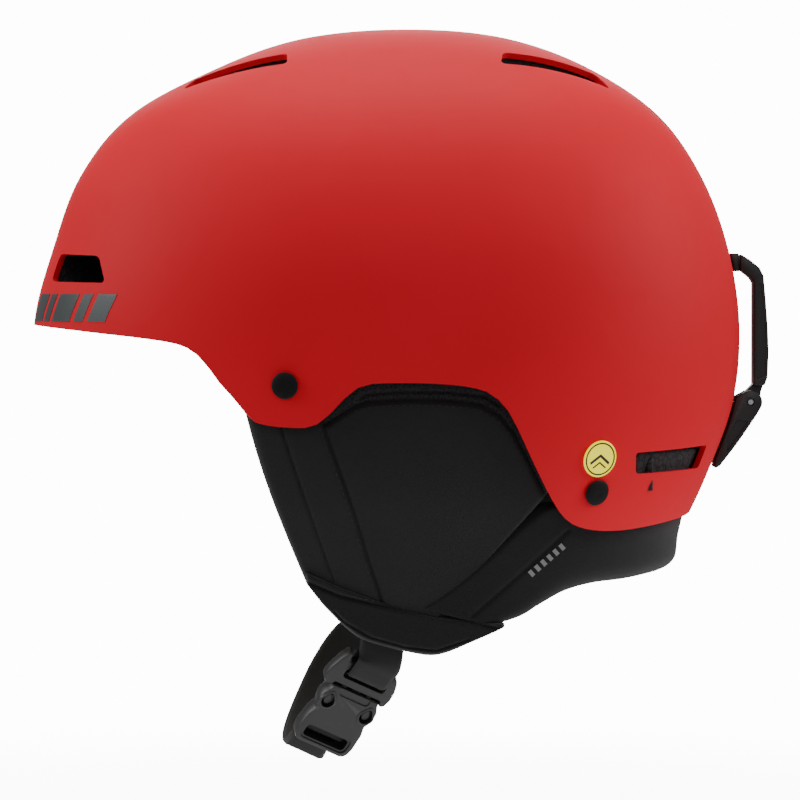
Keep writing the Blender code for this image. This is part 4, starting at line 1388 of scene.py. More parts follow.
# ---------------------------------------------------------------- goggle retainer
@dataclass
class GoggleRetainer:
    """The sprung arm at the rear, its base, pin and catch."""

    half_width: float = 10.0
    knuckle_half: float = 5.8
    pivot: Place = (140.8, -108.0)
    knuckle: float = 3.6
    cheek: float = 4.5
    pin: float = 1.3
    seat: float = 142.0

    def arc(self, radius: float, start: float, end: float, count: int) -> list[Place]:
        """Points of an arc about the pivot."""
        angles = [math.radians(start + (end - start) * i / (count - 1)) for i in range(count)]
        return [(self.pivot[0] + radius * math.cos(a), self.pivot[1] + radius * math.sin(a)) for a in angles]

    def shell_rear(self, z: float) -> float:
        """Where the shell crosses the centre plane at the rear."""
        return DOME.point(180, DOME.dip_at(z)).y

    def slab(
        self, name: str, outline: Sequence[Place], half: float, bevel: float, rounding: float = 0.0
    ) -> Object:
        """An outline in the centre plane, as wide as twice half, with broken edges."""
        bm = bmesh.new()
        crossing(bm, outline, -half, half, rounding, 3)
        if bevel:
            soften(bm, bevel, 2)
        bmesh.ops.transform(bm, matrix=centre_plane(), verts=bm.verts)
        return finished(name, bm, Finishes.PLASTIC, 35.0)

    def pin_hole(self, radius: float) -> Object:
        """A cutter for the pin's hole."""
        bm = bmesh.new()
        place = centre_plane() @ Matrix.Translation((self.pivot[0], self.pivot[1], 0))
        turned(bm, ((0, -30), (radius, -30), (radius, 30), (0, 30)), 32, place)
        return finished("cutter", bm, Finishes.PLASTIC)

    def build_base(self) -> None:
        """The base with its two cheeks."""
        outline = self.arc(self.cheek, 130, -30, 14)
        outline += [(143.0, -113.2), (136.0, -123.5), (128.7, -133.0), (126.6, -133.6)]
        outline += [(self.shell_rear(z) + 0.5, z) for z in (-130, -124, -118, -112, -106)]
        base = self.slab("retainer_base", outline[::-1], self.half_width, 0.7)
        gap = self.arc(self.knuckle + 0.5, -180, 0, 16)
        gap += [(160.0, self.pivot[1]), (160.0, -90.0), (128.0, -90.0), (128.0, self.pivot[1])]
        pocket = [(140.0, -115.5), (131.5, -127.5), (131.8, -121.5), (135.6, -114.5)]
        cutters = [self.slab("cutter", gap, self.knuckle_half + 0.4, 0.0), self.pin_hole(self.pin + 0.1)]
        for side in Side:
            hollow = self.slab("cutter", pocket, 1.2, 0.0, 1.0)
            hollow.data.transform(Matrix.Translation((side.value * (self.half_width + 0.2) * MM, 0, 0)))
            cutters.append(hollow)
        cut(base, cutters)
        edge_break(base, 0.25, 45.0)
        place_piece(base, Body.HELMET, Slot.PLASTIC, "goggle_clip_base")

    def build_arm(self) -> None:
        """The arm: a bar with a recessed side panel and a hook at its top."""
        outer = [
            (136.9, -50.9), (140.6, -53.2), (144.2, -56.2), (145.7, -59.3), (146.6, -69.0), (147.3, -78.7),
            (147.7, -88.0), (147.3, -98.4), (146.2, -101.5),
        ]
        inner = [(self.seat, -101.5), (self.seat, -62.0), (140.9, -60.2), (137.6, -57.4), (136.8, -57.4)]
        arm = self.slab("retainer_arm", (outer + inner)[::-1], self.half_width, 0.8)
        neck = self.arc(self.knuckle, -180, 0, 16) + [
            (145.0, -104.0), (146.2, -100.5), (142.4, -100.5), (138.2, -105.0)
        ]
        cut(arm, [self.slab("cutter", neck, self.knuckle_half, 0.3)], "UNION")
        panel = [
            (143.1, -62.5), (144.9, -62.0), (146.4, -78.7), (146.7, -88.0), (146.4, -98.0), (143.1, -99.5)
        ]
        cutters = [self.pin_hole(self.pin + 0.1)]
        for side in Side:
            hollow = self.slab("cutter", panel, 0.9, 0.0, 0.8)
            hollow.data.transform(Matrix.Translation((side.value * (self.half_width + 0.2) * MM, 0, 0)))
            cutters.append(hollow)
        for height in (-66.0, -72.0, -78.0, -84.0, -90.0):
            bm = bmesh.new()
            crossing(bm, ((-6.5, -0.55), (6.5, -0.55), (6.5, 0.55), (-6.5, 0.55)), -0.5, 2.0, 0.5, 3)
            place = Matrix.Translation((0, 147.15 if height < -74 else 146.3, height))
            turn = Matrix.Rotation(math.radians(-90), 4, "X")
            bmesh.ops.transform(bm, matrix=place @ turn, verts=bm.verts)
            cutters.append(finished("cutter", bm, Finishes.PLASTIC))
        cut(arm, cutters)
        edge_break(arm, 0.2, 45.0)
        place_piece(arm, Body.CLIP, Slot.PLASTIC, "goggle_clip_arm")

    def build_small(self) -> None:
        """The pin and the catch."""
        reach = self.half_width - 0.6
        place = centre_plane() @ Matrix.Translation((self.pivot[0], self.pivot[1], 0))
        bm = bmesh.new()
        radius = self.pin
        half = ((0, reach), (radius - 0.3, reach), (radius, reach - 0.3))
        profile = [(x, -height) for x, height in half] + list(half[::-1])
        turned(bm, profile, 32, place)
        place_piece(
            finished("retainer_pin", bm, Finishes.STEEL, 40.0), Body.HELMET, Slot.STEEL, "goggle_clip_pin"
        )
        heights = (-50.6, -54.0, -57.6)
        outline = [(self.shell_rear(z) + 0.35, z) for z in heights]
        outline += [(136.4, heights[2]), (136.2, heights[0])]
        catch = self.slab("retainer_catch", outline, 7.0, 0.25)
        place_piece(catch, Body.HELMET, Slot.PLASTIC, "goggle_clip_catch")

    def build(self) -> None:
        """Builds the retainer."""
        self.build_base()
        self.build_arm()
        self.build_small()


# ---------------------------------------------------------------- soft goods
@dataclass
class EarPads:
    """The two ear pads with their seams and linings."""

    spans: Sequence[Span] = (
        ((-29.3, -171.2), (-51.2, -107.5)),
        ((-21.4, -173.3), (-38.0, -105.4)),
        ((-12.0, -175.9), (-24.0, -103.6)),
        ((-3.0, -178.7), (-9.0, -95.5)),
        ((4.0, -180.9), (10.0, -92.5)),
        ((9.5, -182.4), (28.0, -93.5)),
        ((13.0, -183.4), (41.0, -99.0)),
        ((14.6, -183.9), (51.0, -113.0)),
        ((15.2, -184.1), (57.2, -128.0)),
        ((15.6, -184.3), (60.6, -142.6)),
    )
    wall: float = 6.0
    lining_depth: float = 10.6
    lining_wall: float = 4.0
    front_seam: Sequence[Place] = (
        (-24.6, -110.5), (-22.8, -115.4), (-17.6, -129.8), (-11.3, -148.3),
        (-6.6, -164.5), (-2.6, -176.6), (-1.5, -181.0),
    )
    arch_seam: Sequence[Place] = (
        (-22.8, -115.4), (-17.0, -111.6), (-11.3, -107.9), (-6.6, -106.4),
        (7.3, -105.5), (23.4, -105.8), (35.0, -107.3),
        (41.9, -111.3), (47.1, -117.7), (52.4, -127.5), (58.1, -139.1), (64.0, -151.0),
    )
    arch_line: Sequence[Place] = (
        (-9.0, -104.4), (-6.6, -103.3), (7.3, -102.4), (23.4, -102.5), (37.3, -104.2), (41.8, -107.4)
    )
    crease: Sequence[Place] = (
        (-38.9, -112.0), (-38.4, -116.5), (-32.6, -134.4), (-26.3, -152.9), (-19.4, -173.2)
    )
    strip_drop: float = 1.3
    tuck: float = 4.5
    bulge: float = 3.9

    def seam_distance(self, place: Vector) -> float:
        """How far a place is from the nearest sewn seam."""
        spot = (place.y, place.z)
        return min(distance_to_line(spot, self.front_seam), distance_to_line(spot, self.arch_seam))

    def faint_distance(self, place: Vector) -> float:
        """How far a place is from the nearest faint line."""
        spot = (place.y, place.z)
        return min(distance_to_line(spot, self.crease) + 0.5, distance_to_line(spot, self.arch_line) + 0.25)

    def over_arch(self, place: Vector) -> float:
        """1 on the coarse strip between the panel and the shell, falling to 0 on the panel."""
        if place.y < self.arch_seam[0][0] or place.x < 70:
            return 0.0
        level = between(self.arch_seam, min(place.y, self.arch_seam[-1][0]))[0]
        rise = max(0.0, min(1.0, (place.z - level) / 0.8 + 0.2))
        return rise * rise * (3 - 2 * rise)

    def tucked_spans(self) -> list[Span]:
        """The pad's lines, run on under the shell, the pocket and the band behind."""
        spans = []
        for index, (low, high) in enumerate(self.spans):
            back = 2.6 * (index / (len(self.spans) - 1)) ** 2
            spans.append(((low[0] + back, low[1] - self.tuck), (high[0] + back, high[1] + self.tuck)))
        return spans

    def build_pad(self) -> None:
        """The outer pad of both sides: swollen, then sewn."""
        form = Pillow(
            SOFT.side, self.tucked_spans(), 0.0, self.wall, 96, 76, 100.0, 88.0, (3.4, 2.0), (2.0, 2.0),
            self.bulge,
        )
        pad = finished("ear_pad_cover_left", form.mesh(), Finishes.KNIT)
        Upholstery(2.4, 1.7).puff(
            pad, lambda p: 1.0 if self.seam_distance(p) < 1.6 or self.rim_near(p) < 3.0 else 0.0
        )
        densify(pad)
        inward = Vector((-1, 0, 0))
        strip = pad.data.attributes.new("strip", "FLOAT", "POINT")
        for vert, value in zip(pad.data.vertices, strip.data):
            value.value = self.over_arch(vert.co / MM)
            vert.co += inward * (self.strip_drop * value.value * MM)
        # The seams and faint creases sunk here are darkened as painted shade by the knit finish.
        carve(
            pad, lambda p: min(self.seam_distance(p), self.faint_distance(p)), 0.85, 1.0,
            lambda p: inward if p.x > 70 else Vector(),
        )
        right = mirrored(pad, "ear_pad_cover_right")
        for piece, side in ((pad, Side.LEFT), (right, Side.RIGHT)):
            place_piece(piece, Body.HELMET, Slot.FABRIC, f"ear_pad_{side.word}")
        self.sew(pad)

    def rim_near(self, place: Vector) -> float:
        """How far a place is from the pad's lower, front or rear edge."""
        spans = self.tucked_spans()
        lines = ([span[0] for span in spans], list(spans[0]), list(spans[-1]))
        return min(distance_to_line((place.y, place.z), line) for line in lines)

    def sew(self, pad: Object) -> None:
        """Stitches beside the front seam and below the arch, on both pads."""
        rows = [[Vector((80, y - 1.7, z)) for y, z in self.front_seam[1:-1]]]
        rows.append([Vector((80, y - 0.3, z - 1.8)) for y, z in self.arch_seam[2:-2]])
        stitches = StitchRun(2.6, 1.7, 0.17).lay("ear_pad_stitches_left", rows, pad, Vector((1, 0, 0)), 0.02)
        other = mirrored(stitches, "ear_pad_stitches_right")
        for piece in (stitches, other):
            place_piece(piece, Body.HELMET, Slot.FABRIC)

    def build_lining(self) -> None:
        """The lining that lies against the cheek."""
        ends = [place for span in self.spans for place in span]
        middle = [sum(p[i] for p in ends) / len(ends) for i in (0, 1)]
        spans = [
            tuple(tuple(m + (p - m) * 0.95 for m, p in zip(middle, place)) for place in span)
            for span in self.spans
        ]
        form = Pillow(SOFT.side, spans, self.lining_depth, self.lining_wall, 56, 44, 95.0, 76.0)
        lining = finished("ear_lining_cover_left", form.mesh(), Finishes.LINING)
        hub = Vector((80.0, 14.0, -132.0))
        Upholstery(pressure=2.0, cap=1.2).puff(lining, lambda p: 1.0 if (p - hub).length > 46 else 0.0)
        densify(lining)
        right = mirrored(lining, "ear_lining_cover_right")
        for piece, side in ((lining, Side.LEFT), (right, Side.RIGHT)):
            place_piece(piece, Body.HELMET, Slot.FABRIC, f"ear_lining_{side.word}")

    def build(self) -> None:
        """Builds the ear pads."""
        self.build_pad()
        self.build_lining()


@dataclass
class NeckRoll:
    """The padded roll behind the neck, with the two bands that run down to the pockets."""

    spans: Sequence[Span] = (
        ((70.5, -188.2), (85.6, -184.4)),
        ((65.5, -184.0), (80.3, -174.4)),
        ((61.0, -180.3), (74.4, -164.2)),
        ((54.5, -176.4), (62.3, -144.6)),
        ((46.2, -174.6), (54.0, -146.5)),
        ((34.5, -173.8), (40.0, -146.5)),
        ((22.5, -172.6), (25.0, -146.0)),
        ((10.0, -171.6), (11.0, -146.0)),
        ((0.0, -171.2), (0.0, -146.0)),
    )
    wall: float = 14.0
    proud: float = 0.7
    drops: Sequence[float] = (3.2, 3.6, 3.2, 2.2, 1.2, 1.0)
    band: Sequence[Place] = ((68.5, -154.7), (51.0, -170.6), (32.7, -186.5))

    def all_spans(self) -> list[Span]:
        """The spans of both sides, from the wearer's left to the right."""
        left = []
        for index, (low, high) in enumerate(self.spans):
            lap = 1.7 if index < 4 else 0.0
            end = 3.2 if index == 0 else 0.0
            drop = self.drops[min(index, len(self.drops) - 1)]
            rise = 1.5 if index > 3 else 0.0
            left.append(((low[0] + end, low[1] - drop), (high[0] + lap + end / 2, high[1] + rise)))
        other = [((-low[0], low[1]), (-high[0], high[1])) for low, high in left[-2::-1]]
        return left + other

    def build(self) -> None:
        """The roll and the marks on its left band."""
        form = Pillow(
            SOFT.around, self.all_spans(), -self.proud, self.wall, 200, 32, 330.0, 30.0, (2.0, 2.0),
            (8.0, 2.6),
        )
        roll = finished("neck_roll_cover", form.mesh(), Finishes.BAND)
        Upholstery(pressure=2.0, cap=1.2).puff(roll, lambda p: 1.0 if p.z > -149 or abs(p.x) > 78 else 0.15)
        densify(roll)
        # The band's seam sunk here is darkened as painted shade by the knit finish.
        carve(
            roll, lambda p: distance_to_line((p.y, p.z), self.band) if abs(p.x) > 40 else 99.0, 0.9, 0.5,
            lambda p: Vector((-p.x, 8 - p.y, 0)).normalized(),
        )
        place_piece(roll, Body.HELMET, Slot.FABRIC, "neck_roll")
        self.build_marks(roll)

    def build_marks(self, roll: Object) -> None:
        """Six plain dashes woven into the left band, in place of lettering."""
        tree = BVHTree.FromObject(roll, bpy.context.evaluated_depsgraph_get())
        start, end = Vector((0, 54.6, -170.6)), Vector((0, 66.0, -160.8))
        way = (end - start).normalized()
        rise = Vector((0, -way.z, way.y))
        bm = bmesh.new()
        for index in range(6):
            middle = start.lerp(end, index / 5)
            corners = []
            for a, u in ((-0.8, -1.3), (0.8, -1.3), (0.8, 1.3), (-0.8, 1.3)):
                point = middle + way * a + rise * u
                hit, normal, _, _ = tree.ray_cast((point + Vector((150, 0, 0))) * MM, Vector((-1, 0, 0)))
                if hit is not None:
                    corners.append(bm.verts.new(hit / MM + normal * 0.12))
            if len(corners) == 4:
                face = bm.faces.new(corners)
                grown = bmesh.ops.extrude_face_region(bm, geom=[face])
                bmesh.ops.translate(
                    bm, vec=(0.18, 0, 0), verts=[v for v in grown["geom"] if isinstance(v, BMVert)]
                )
        bmesh.ops.recalc_face_normals(bm, faces=bm.faces)
        place_piece(finished("band_marks", bm, Finishes.LABEL, 30.0), Body.HELMET, Slot.FABRIC)


@dataclass
class StrapPockets:
    """The sleeves sewn round the ear pads' tips, with a hem and a mouth for the chin strap."""

    spans: Sequence[Span] = (
        ((-29.6, -174.6), (-30.6, -169.6)),
        ((-24.0, -182.0), (-24.0, -172.3)),
        ((-19.5, -186.9), (-18.0, -174.9)),
        ((-14.5, -191.8), (-12.0, -177.0)),
        ((-8.8, -195.8), (-4.0, -180.0)),
        ((0.0, -198.6), (3.0, -182.2)),
        ((7.3, -200.4), (9.0, -183.8)),
        ((16.3, -201.9), (17.0, -186.0)),
        ((23.0, -200.8), (24.0, -187.2)),
        ((32.0, -197.0), (32.0, -188.6)),
        ((40.2, -193.4), (38.5, -189.4)),
        ((44.8, -191.0), (44.6, -189.8)),
    )
    proud: float = 1.6
    wall: float = 15.8
    mouth: float = 4.0
    mouth_middle: float = 70.6
    hem: Sequence[Place] = (
        (-28.9, -173.9), (-17.0, -178.9), (-2.0, -182.6), (16.5, -186.2), (35.0, -189.8), (42.0, -191.4)
    )
    roll: Sequence[Place] = (
        (-19.0, -185.2), (-15.3, -188.9), (-5.5, -194.6), (7.3, -198.2), (18.8, -199.6), (31.0, -195.6)
    )

    def seam_distance(self, place: Vector) -> float:
        """How far a place is from the hem's or the lower roll's seam."""
        spot = (place.y, place.z)
        return min(distance_to_line(spot, self.hem), distance_to_line(spot, self.roll) + 0.3)

    def build(self) -> None:
        """Both sleeves and their stitches."""
        form = Pillow(
            SOFT.side, self.spans, -self.proud, self.wall, 110, 46, 78.0, 17.0, (1.2, 1.0), (2.6, 1.6)
        )
        pocket = finished("strap_sleeve_left", form.mesh(), Finishes.BAND)
        Upholstery(1.6, 0.9).puff(pocket, lambda p: 1.0 if self.seam_distance(p) < 1.0 or p.z < -197 else 0.0)
        densify(pocket)
        # The hem and roll seams sunk here are darkened as painted shade by the knit finish.
        carve(pocket, self.seam_distance, 0.8, 1.1, lambda p: Vector((-1 if p.x > 74 else 1, 0, 0)))
        bm = bmesh.new()
        low, high = self.mouth_middle - self.mouth / 2, self.mouth_middle + self.mouth / 2
        crossing(bm, ((low, -23.0), (high, -23.0), (high, 15.0), (low, 15.0)), -216.0, -182.0, 1.6, 3)
        cut(pocket, [finished("cutter", bm, Finishes.BAND)])
        right = mirrored(pocket, "strap_sleeve_right")
        for piece, side in ((pocket, Side.LEFT), (right, Side.RIGHT)):
            place_piece(piece, Body.HELMET, Slot.FABRIC, f"strap_pocket_{side.word}")
        rows = [[Vector((85, y, z + 1.2)) for y, z in self.hem[1:-1]]]
        stitches = StitchRun(2.4, 1.6, 0.17).lay("sleeve_stitches_left", rows, pocket, Vector((1, 0, 0)))
        for piece in (stitches, mirrored(stitches, "sleeve_stitches_right")):
            place_piece(piece, Body.HELMET, Slot.FABRIC)


@dataclass
class YokeStraps:
    """The load straps between each ear pad and its lining."""

    width: float = 15.0
    wall: float = 1.0
    legs: dict[str, tuple[Sequence[Place], float]] = field(
        default_factory=lambda: {
            "front": (((-33, -112), (-27, -128), (-19, -145), (-10.5, -162), (-5.0, -173.0)), 7.6),
            "rear": (((38, -112), (29, -130), (19, -147), (9, -163), (3.0, -174.0)), 9.0),
        }
    )

    def build(self) -> None:
        """Builds the four straps."""
        for leg, (places, depth) in self.legs.items():
            for side in Side:
                path, across = [], []
                for y, z in places:
                    front, rear = (
                        SOFT.side(y + reach, z, depth) for reach in (-self.width / 2, self.width / 2)
                    )
                    middle = (front + rear + SOFT.side(y, z, depth) * 2) / 4
                    path.append((side.value * middle.x, y, z))
                    across.append((side.value * (rear.x - front.x), rear.y - front.y, 0))
                strap = finished(
                    f"yoke_{leg}_{side.word}", Ribbon(path, across, self.width, self.wall, 1.6).mesh(),
                    Finishes.WEBBING,
                )
                place_piece(strap, Body.HELMET, Slot.WEBBING, f"strap_yoke_{leg}_{side.word}")


# ---------------------------------------------------------------- inside
@dataclass
class ComfortPads:
    """The pads on the slip liner."""

    start: float = 7.4
    wall: float = 3.6

    def patch(self, name: str, turns: Place, dips: Place, size: Place, *nodes: str) -> Object:
        """One pad over a range of turns and dips."""

        def surface(turn: float, dip: float, depth: float) -> Vector:
            """The liner's surface, drawn in."""
            return DOME.point(turn, dip, DOME.drawn_in(self.start + depth, 1.0))

        steps = 8
        turns_at = [turns[0] + (turns[1] - turns[0]) * i / steps for i in range(steps + 1)]
        spans = [((turn, dips[1]), (turn, dips[0])) for turn in turns_at]
        form = Pillow(surface, spans, 0.0, self.wall, 72, 22, size[0], size[1])
        pad = finished(name, form.mesh(), Finishes.COMFORT)
        return place_piece(pad, Body.SLIP, Slot.FABRIC, *nodes)

    def build_crown(self) -> None:
        """The crown pad, a flat oval with a channel across it."""
        bm = bmesh.new()
        for face in (1, -1):

            def spot(across: float, up: float, face: int = face) -> Vector:
                """A point of the crown pad's face, with the pad as a disc of rings."""
                fall = edge_fall(1 - up, 20.0, (3.0, 3.0)) if up > 0.5 else 1.0
                groove = 1.0 - 0.45 * math.exp(-(((up - 0.55) * 40 / 2.2) ** 2))
                depth = self.start + self.wall / 2 * (1 - face * fall * (groove if face < 0 else 1.0))
                return DOME.point(FULL_TURN * across, 13.5 * up, DOME.drawn_in(depth, 1.0))

            add_grid(bm, 72, 22, spot, (120.0, 20.0))
        weld(bm)
        pad = finished("crown_cushion", bm, Finishes.COMFORT)
        place_piece(pad, Body.SLIP, Slot.FABRIC, "crown_pad")

    def build(self) -> None:
        """Builds the five pads."""
        self.patch("brow_cushion", (-52, 52), (71, 86), (170, 20), "brow_pad")
        self.patch("side_cushion_left", (76, 112), (58, 80), (70, 30), "side_pad_left")
        self.patch("side_cushion_right", (-112, -76), (58, 80), (70, 30), "side_pad_right")
        self.patch("rear_cushion", (146, 214), (66, 92), (110, 36), "rear_pad")
        self.build_crown()


@dataclass
class FitSystem:
    """The cradle behind the head, its pad and its two bands."""

    reach: float = 80.0
    half: float = 66.0
    wall: float = 2.4
    low: float = -146.0
    high: float = -112.0
    pad_wall: float = 4.0
    pad_gap: float = 1.2

    def point(self, turn: float, height: float, depth: float) -> Vector:
        """A point of the cradle's surface at a turn from the rear."""
        power = 2 / DOME.squareness
        sine, cosine = math.sin(math.radians(turn)), math.cos(math.radians(turn))
        x = (self.half - depth) * signed_power(sine, power)
        return Vector((x, DOME.middle + (self.reach - depth) * signed_power(cosine, power), height))

    def edges(self, turn: float) -> Place:
        """The cradle's lower and upper edge at a turn."""
        rise = (abs(turn) / 66) ** 2
        return self.low + 12 * rise, self.high + 2 * rise

    def build_cradle(self) -> None:
        """A thin moulded cradle with two rows of slots."""
        bm = bmesh.new()
        for depth in (0.0, self.wall):

            def spot(across: float, up: float, depth: float = depth) -> Vector:
                """A point of one face of the cradle."""
                turn = -66 + 132 * across
                low, high = self.edges(turn)
                return self.point(turn, low + (high - low) * up, depth)

            add_grid(bm, 84, 16, spot, (150.0, 34.0))
        rims = [edge for edge in bm.edges if edge.is_boundary]
        bmesh.ops.bridge_loops(bm, edges=rims)
        bmesh.ops.recalc_face_normals(bm, faces=bm.faces)
        cradle = finished("cradle", bm, Finishes.CRADLE)
        cutters = []
        for turn in (-58, -46, 46, 58):
            bm = bmesh.new()
            crossing(bm, ((-2.2, -6), (2.2, -6), (2.2, 6), (-2.2, 6)), -8, 8, 2.0, 4)
            here = self.point(turn, -126.0, 0.0)
            way = self.point(turn + 1, -126.0, 0.0) - here
            bmesh.ops.transform(bm, matrix=frame_at(here, Vector((way.y, -way.x, 0))), verts=bm.verts)
            cutters.append(finished("cutter", bm, Finishes.CRADLE))
        cut(cradle, cutters)
        edge_break(cradle, 0.5, 40.0)
        place_piece(cradle, Body.CRADLE, Slot.PLASTIC, "fit_cradle")

    def build_pad(self) -> None:
        """The cradle's pad."""
        steps = 8
        spans = []
        for i in range(steps + 1):
            turn = -48 + 96 * i / steps
            low, high = self.edges(turn)
            spans.append(((turn, low + 5), (turn, high - 5)))
        form = Pillow(self.point, spans, self.wall + self.pad_gap - 0.9, self.pad_wall, 72, 22, 105.0, 26.0)
        pad = finished("cradle_cushion", form.mesh(), Finishes.COMFORT)
        place_piece(pad, Body.CRADLE, Slot.FABRIC, "cradle_pad")

    def build_bands(self) -> None:
        """The two bands up to the slip liner."""
        across = [(0, 0.6, 1), (0, 0.8, 0.8), (0, 1, 0.6), (0, 1, 0.3), (0, 1, 0.3)]
        for side in Side:
            end = self.point(71.5, -123.0, self.wall / 2)
            places = (
                end, Vector((69.5, 32.5, -112.5)), Vector((77.0, 24.0, -99.0)), Vector((79.6, 18.0, -87.0)),
                Vector((79.8, 14.0, -74.0)),
            )
            path = [(side.value * place.x, place.y, place.z) for place in places]
            band = finished(
                f"fit_strap_{side.word}", Ribbon(path, across, 11.0, 1.2).mesh(), Finishes.WEBBING
            )
            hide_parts(f"fit_band_{side.word}")
            tuple(v * MM for v in path[0])
            tuple(v * MM for v in path[2])
            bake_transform(band)
            LOG.info("%s bends between cradle and liner", band.name)

    def build(self) -> None:
        """Builds the fit system."""
        self.build_cradle()
        self.build_pad()
        self.build_bands()


# ---------------------------------------------------------------- chin strap
@dataclass
class ChinStrap:
    """The webbing loop and its side-release buckle."""

    pivot: tuple[float, float, float] = (70.6, -1.0, -195.0)
    width: float = 16.6
    wall: float = 1.4
    centre: tuple[float, float, float] = (60.5, -14.8, -220.4)
    up: tuple[float, float, float] = (0.392, 0.527, 0.753)
    across: tuple[float, float, float] = (-0.357, 0.843, -0.404)
    female_half: float = 3.6
    male_half: float = 2.6
    window: Place = (2.5, 3.1)
    window_reach: float = 8.4

    def axes(self) -> tuple[Vector, Vector, Vector]:
        """The buckle's directions: across, up its length and out of its face."""
        up = Vector(self.up).normalized()
        across = Vector(self.across)
        across = (across - up * across.dot(up)).normalized()
        return across, up, across.cross(up)

    def frame(self) -> Matrix:
        """Puts x across the buckle, y up its length and z out of its face."""
        across, up, out = self.axes()
        rows = [[across[i], up[i], out[i], self.centre[i]] for i in range(3)]
        return Matrix(rows + [[0, 0, 0, 1]])

    def spot(self, across: float, up: float, out: float) -> Vector:
        """A place in the buckle's own directions."""
        return self.frame() @ Vector((across, up, out))

    def slab(
        self, name: str, outline: Sequence[Place], low: float, high: float, bevel: float,
        rounding: float = 0.0,
    ) -> Object:
        """An outline in the buckle's plane, with broken edges."""
        bm = bmesh.new()
        crossing(bm, outline, low, high, rounding, 3)
        if bevel:
            soften(bm, bevel, 2, 28.0)
        bmesh.ops.transform(bm, matrix=self.frame(), verts=bm.verts)
        return finished(name, bm, Finishes.BUCKLE, 35.0)

    def block(self, low: Sequence[float], high: Sequence[float], rounding: float = 0.0) -> Object:
        """A rounded block, as a cutter."""
        outline = ((low[0], low[1]), (high[0], low[1]), (high[0], high[1]), (low[0], high[1]))
        return self.slab("cutter", outline, low[2], high[2], 0.0, rounding)

    def teardrop(self, side: int, grow: float) -> list[Place]:
        """The outline of a press window, pointed at its top."""
        points = []
        for index in range(28):
            angle = math.tau * index / 28
            lift = max(0.0, math.sin(angle))
            x = (self.window[0] + grow) * math.cos(angle) * (1 - 0.38 * lift)
            y = (self.window[1] + grow) * math.sin(angle) * (1 + 0.22 * lift)
            points.append((side * (self.window_reach + x), y - 0.3))
        return points

    def build_female(self) -> None:
        """The lower half: a box with a mouth, two press windows and a slot."""
        half = [
            (8.9, -21.2), (10.6, -20.7), (11.7, -19.0), (12.2, -15.6),
            (11.9, -9.0), (11.1, -6.3), (10.7, -4.9), (11.5, -3.3),
            (12.1, -0.5), (11.7, 2.2), (10.7, 4.2), (10.2, 5.2), (10.1, 6.9),
        ]
        outline = half + [(-x, y) for x, y in reversed(half)]
        female = self.slab("buckle_socket", outline, -self.female_half, self.female_half, 1.1)
        cut(
            female, [self.slab("cutter", self.teardrop(side, 0.9), -4.0, 4.0, 0.5) for side in (-1, 1)],
            "UNION",
        )
        cavity = self.block((-7.9, -9.5, -2.1), (7.9, 12.0, 2.1))
        slot = self.block((-8.9, -18.4, -9.0), (8.9, -13.2, 9.0), 1.4)
        dish = self.block((-9.9, -19.4, 3.0), (9.9, -12.0, 9.0), 2.2)
        brow = self.block((-6.4, 3.6, 3.15), (6.4, 9.0, 9.0), 1.4)
        windows = [self.slab("cutter", self.teardrop(side, 0.0), -9.0, 9.0, 0.0) for side in (-1, 1)]
        cut(female, [cavity, slot, dish, brow] + windows)
        cut(female, [self.block((-9.4, -16.6, -3.2), (9.4, -15.2, -1.6))], "UNION")
        edge_break(female, 0.3, 40.0)
        place_piece(female, Body.STRAP_LOWER, Slot.BUCKLE, "buckle_female")

    def build_male(self) -> None:
        """The upper half: a bar, a slot, a swept front horn and a rounded rear one, with a tongue."""
        rear = [
            (9.9, 7.5), (10.0, 5.9), (11.3, 5.1), (12.7, 6.2), (13.3, 9.4), (13.0, 13.2), (12.0, 16.4),
            (10.9, 18.6), (9.6, 18.7),
        ]
        front = [
            (-9.4, 18.2), (-9.9, 20.4), (-10.7, 22.0), (-11.9, 21.2),
            (-13.3, 18.0), (-14.6, 13.4), (-15.2, 9.4), (-14.6, 6.9),
            (-12.9, 5.6), (-10.2, 5.9), (-9.9, 7.5),
        ]
        male = self.slab("buckle_plug", rear + front, -self.male_half, self.male_half, 1.0)
        cut(male, [self.block((-2.0, -8.0, -1.6), (2.0, 9.0, 1.6))], "UNION")
        cut(male, [self.block((-8.9, 11.0, -9.0), (8.9, 14.9, 9.0), 1.2)])
        edge_break(male, 0.35, 40.0)
        place_piece(male, Body.STRAP_UPPER, Slot.BUCKLE, "buckle_male")

    def build_prongs(self) -> None:
        """The two prongs, each with a press button in its window."""
        for word, side, body in (("front", -1, Body.PRONG_FRONT), ("rear", 1, Body.PRONG_REAR)):
            arm = ((4.2, 7.2), (4.2, -1.0), (5.0, -7.6), (6.6, -7.6), (7.4, -4.0), (7.5, 4.3), (6.4, 7.2))
            prong = self.slab(f"buckle_latch_{word}", [(side * x, y) for x, y in arm], -1.7, 1.7, 0.4)
            cut(prong, [self.slab("cutter", self.teardrop(side, -1.0), -2.9, 2.9, 0.6)], "UNION")
            edge_break(prong, 0.25, 45.0)
            place_piece(prong, body, Slot.BUCKLE, f"buckle_prong_{word}")

    def build_left(self) -> None:
        """The short webbing from the left pocket to the plug."""
        across, _, _ = self.axes()
        middle = Vector(self.pivot)
        path = [middle + Vector((0, 0.4, 4.0)), middle + Vector((0, -0.5, -4.2))]
        bar_turns = (
            (22.6, 3.6), (19.0, 3.9), (16.5, 3.9), (14.2, 3.6), (12.9, 2.0), (12.6, 0.0), (12.9, -2.0),
            (14.2, -3.6), (16.5, -3.9), (20.5, -3.9),
        )
        path += [self.spot(0, a, n) for a, n in bar_turns]
        wide = [Vector((0, 1, 0)), Vector((-0.02, 1, -0.05)), across + Vector((0.2, 0, 0.2))] + [across] * 9
        webbing = finished(
            "chin_webbing_left", Ribbon(path, wide, self.width, self.wall, 0.8, 12).mesh(), Finishes.WEBBING
        )
        place_piece(webbing, Body.STRAP_UPPER, Slot.WEBBING, "chin_strap_left")

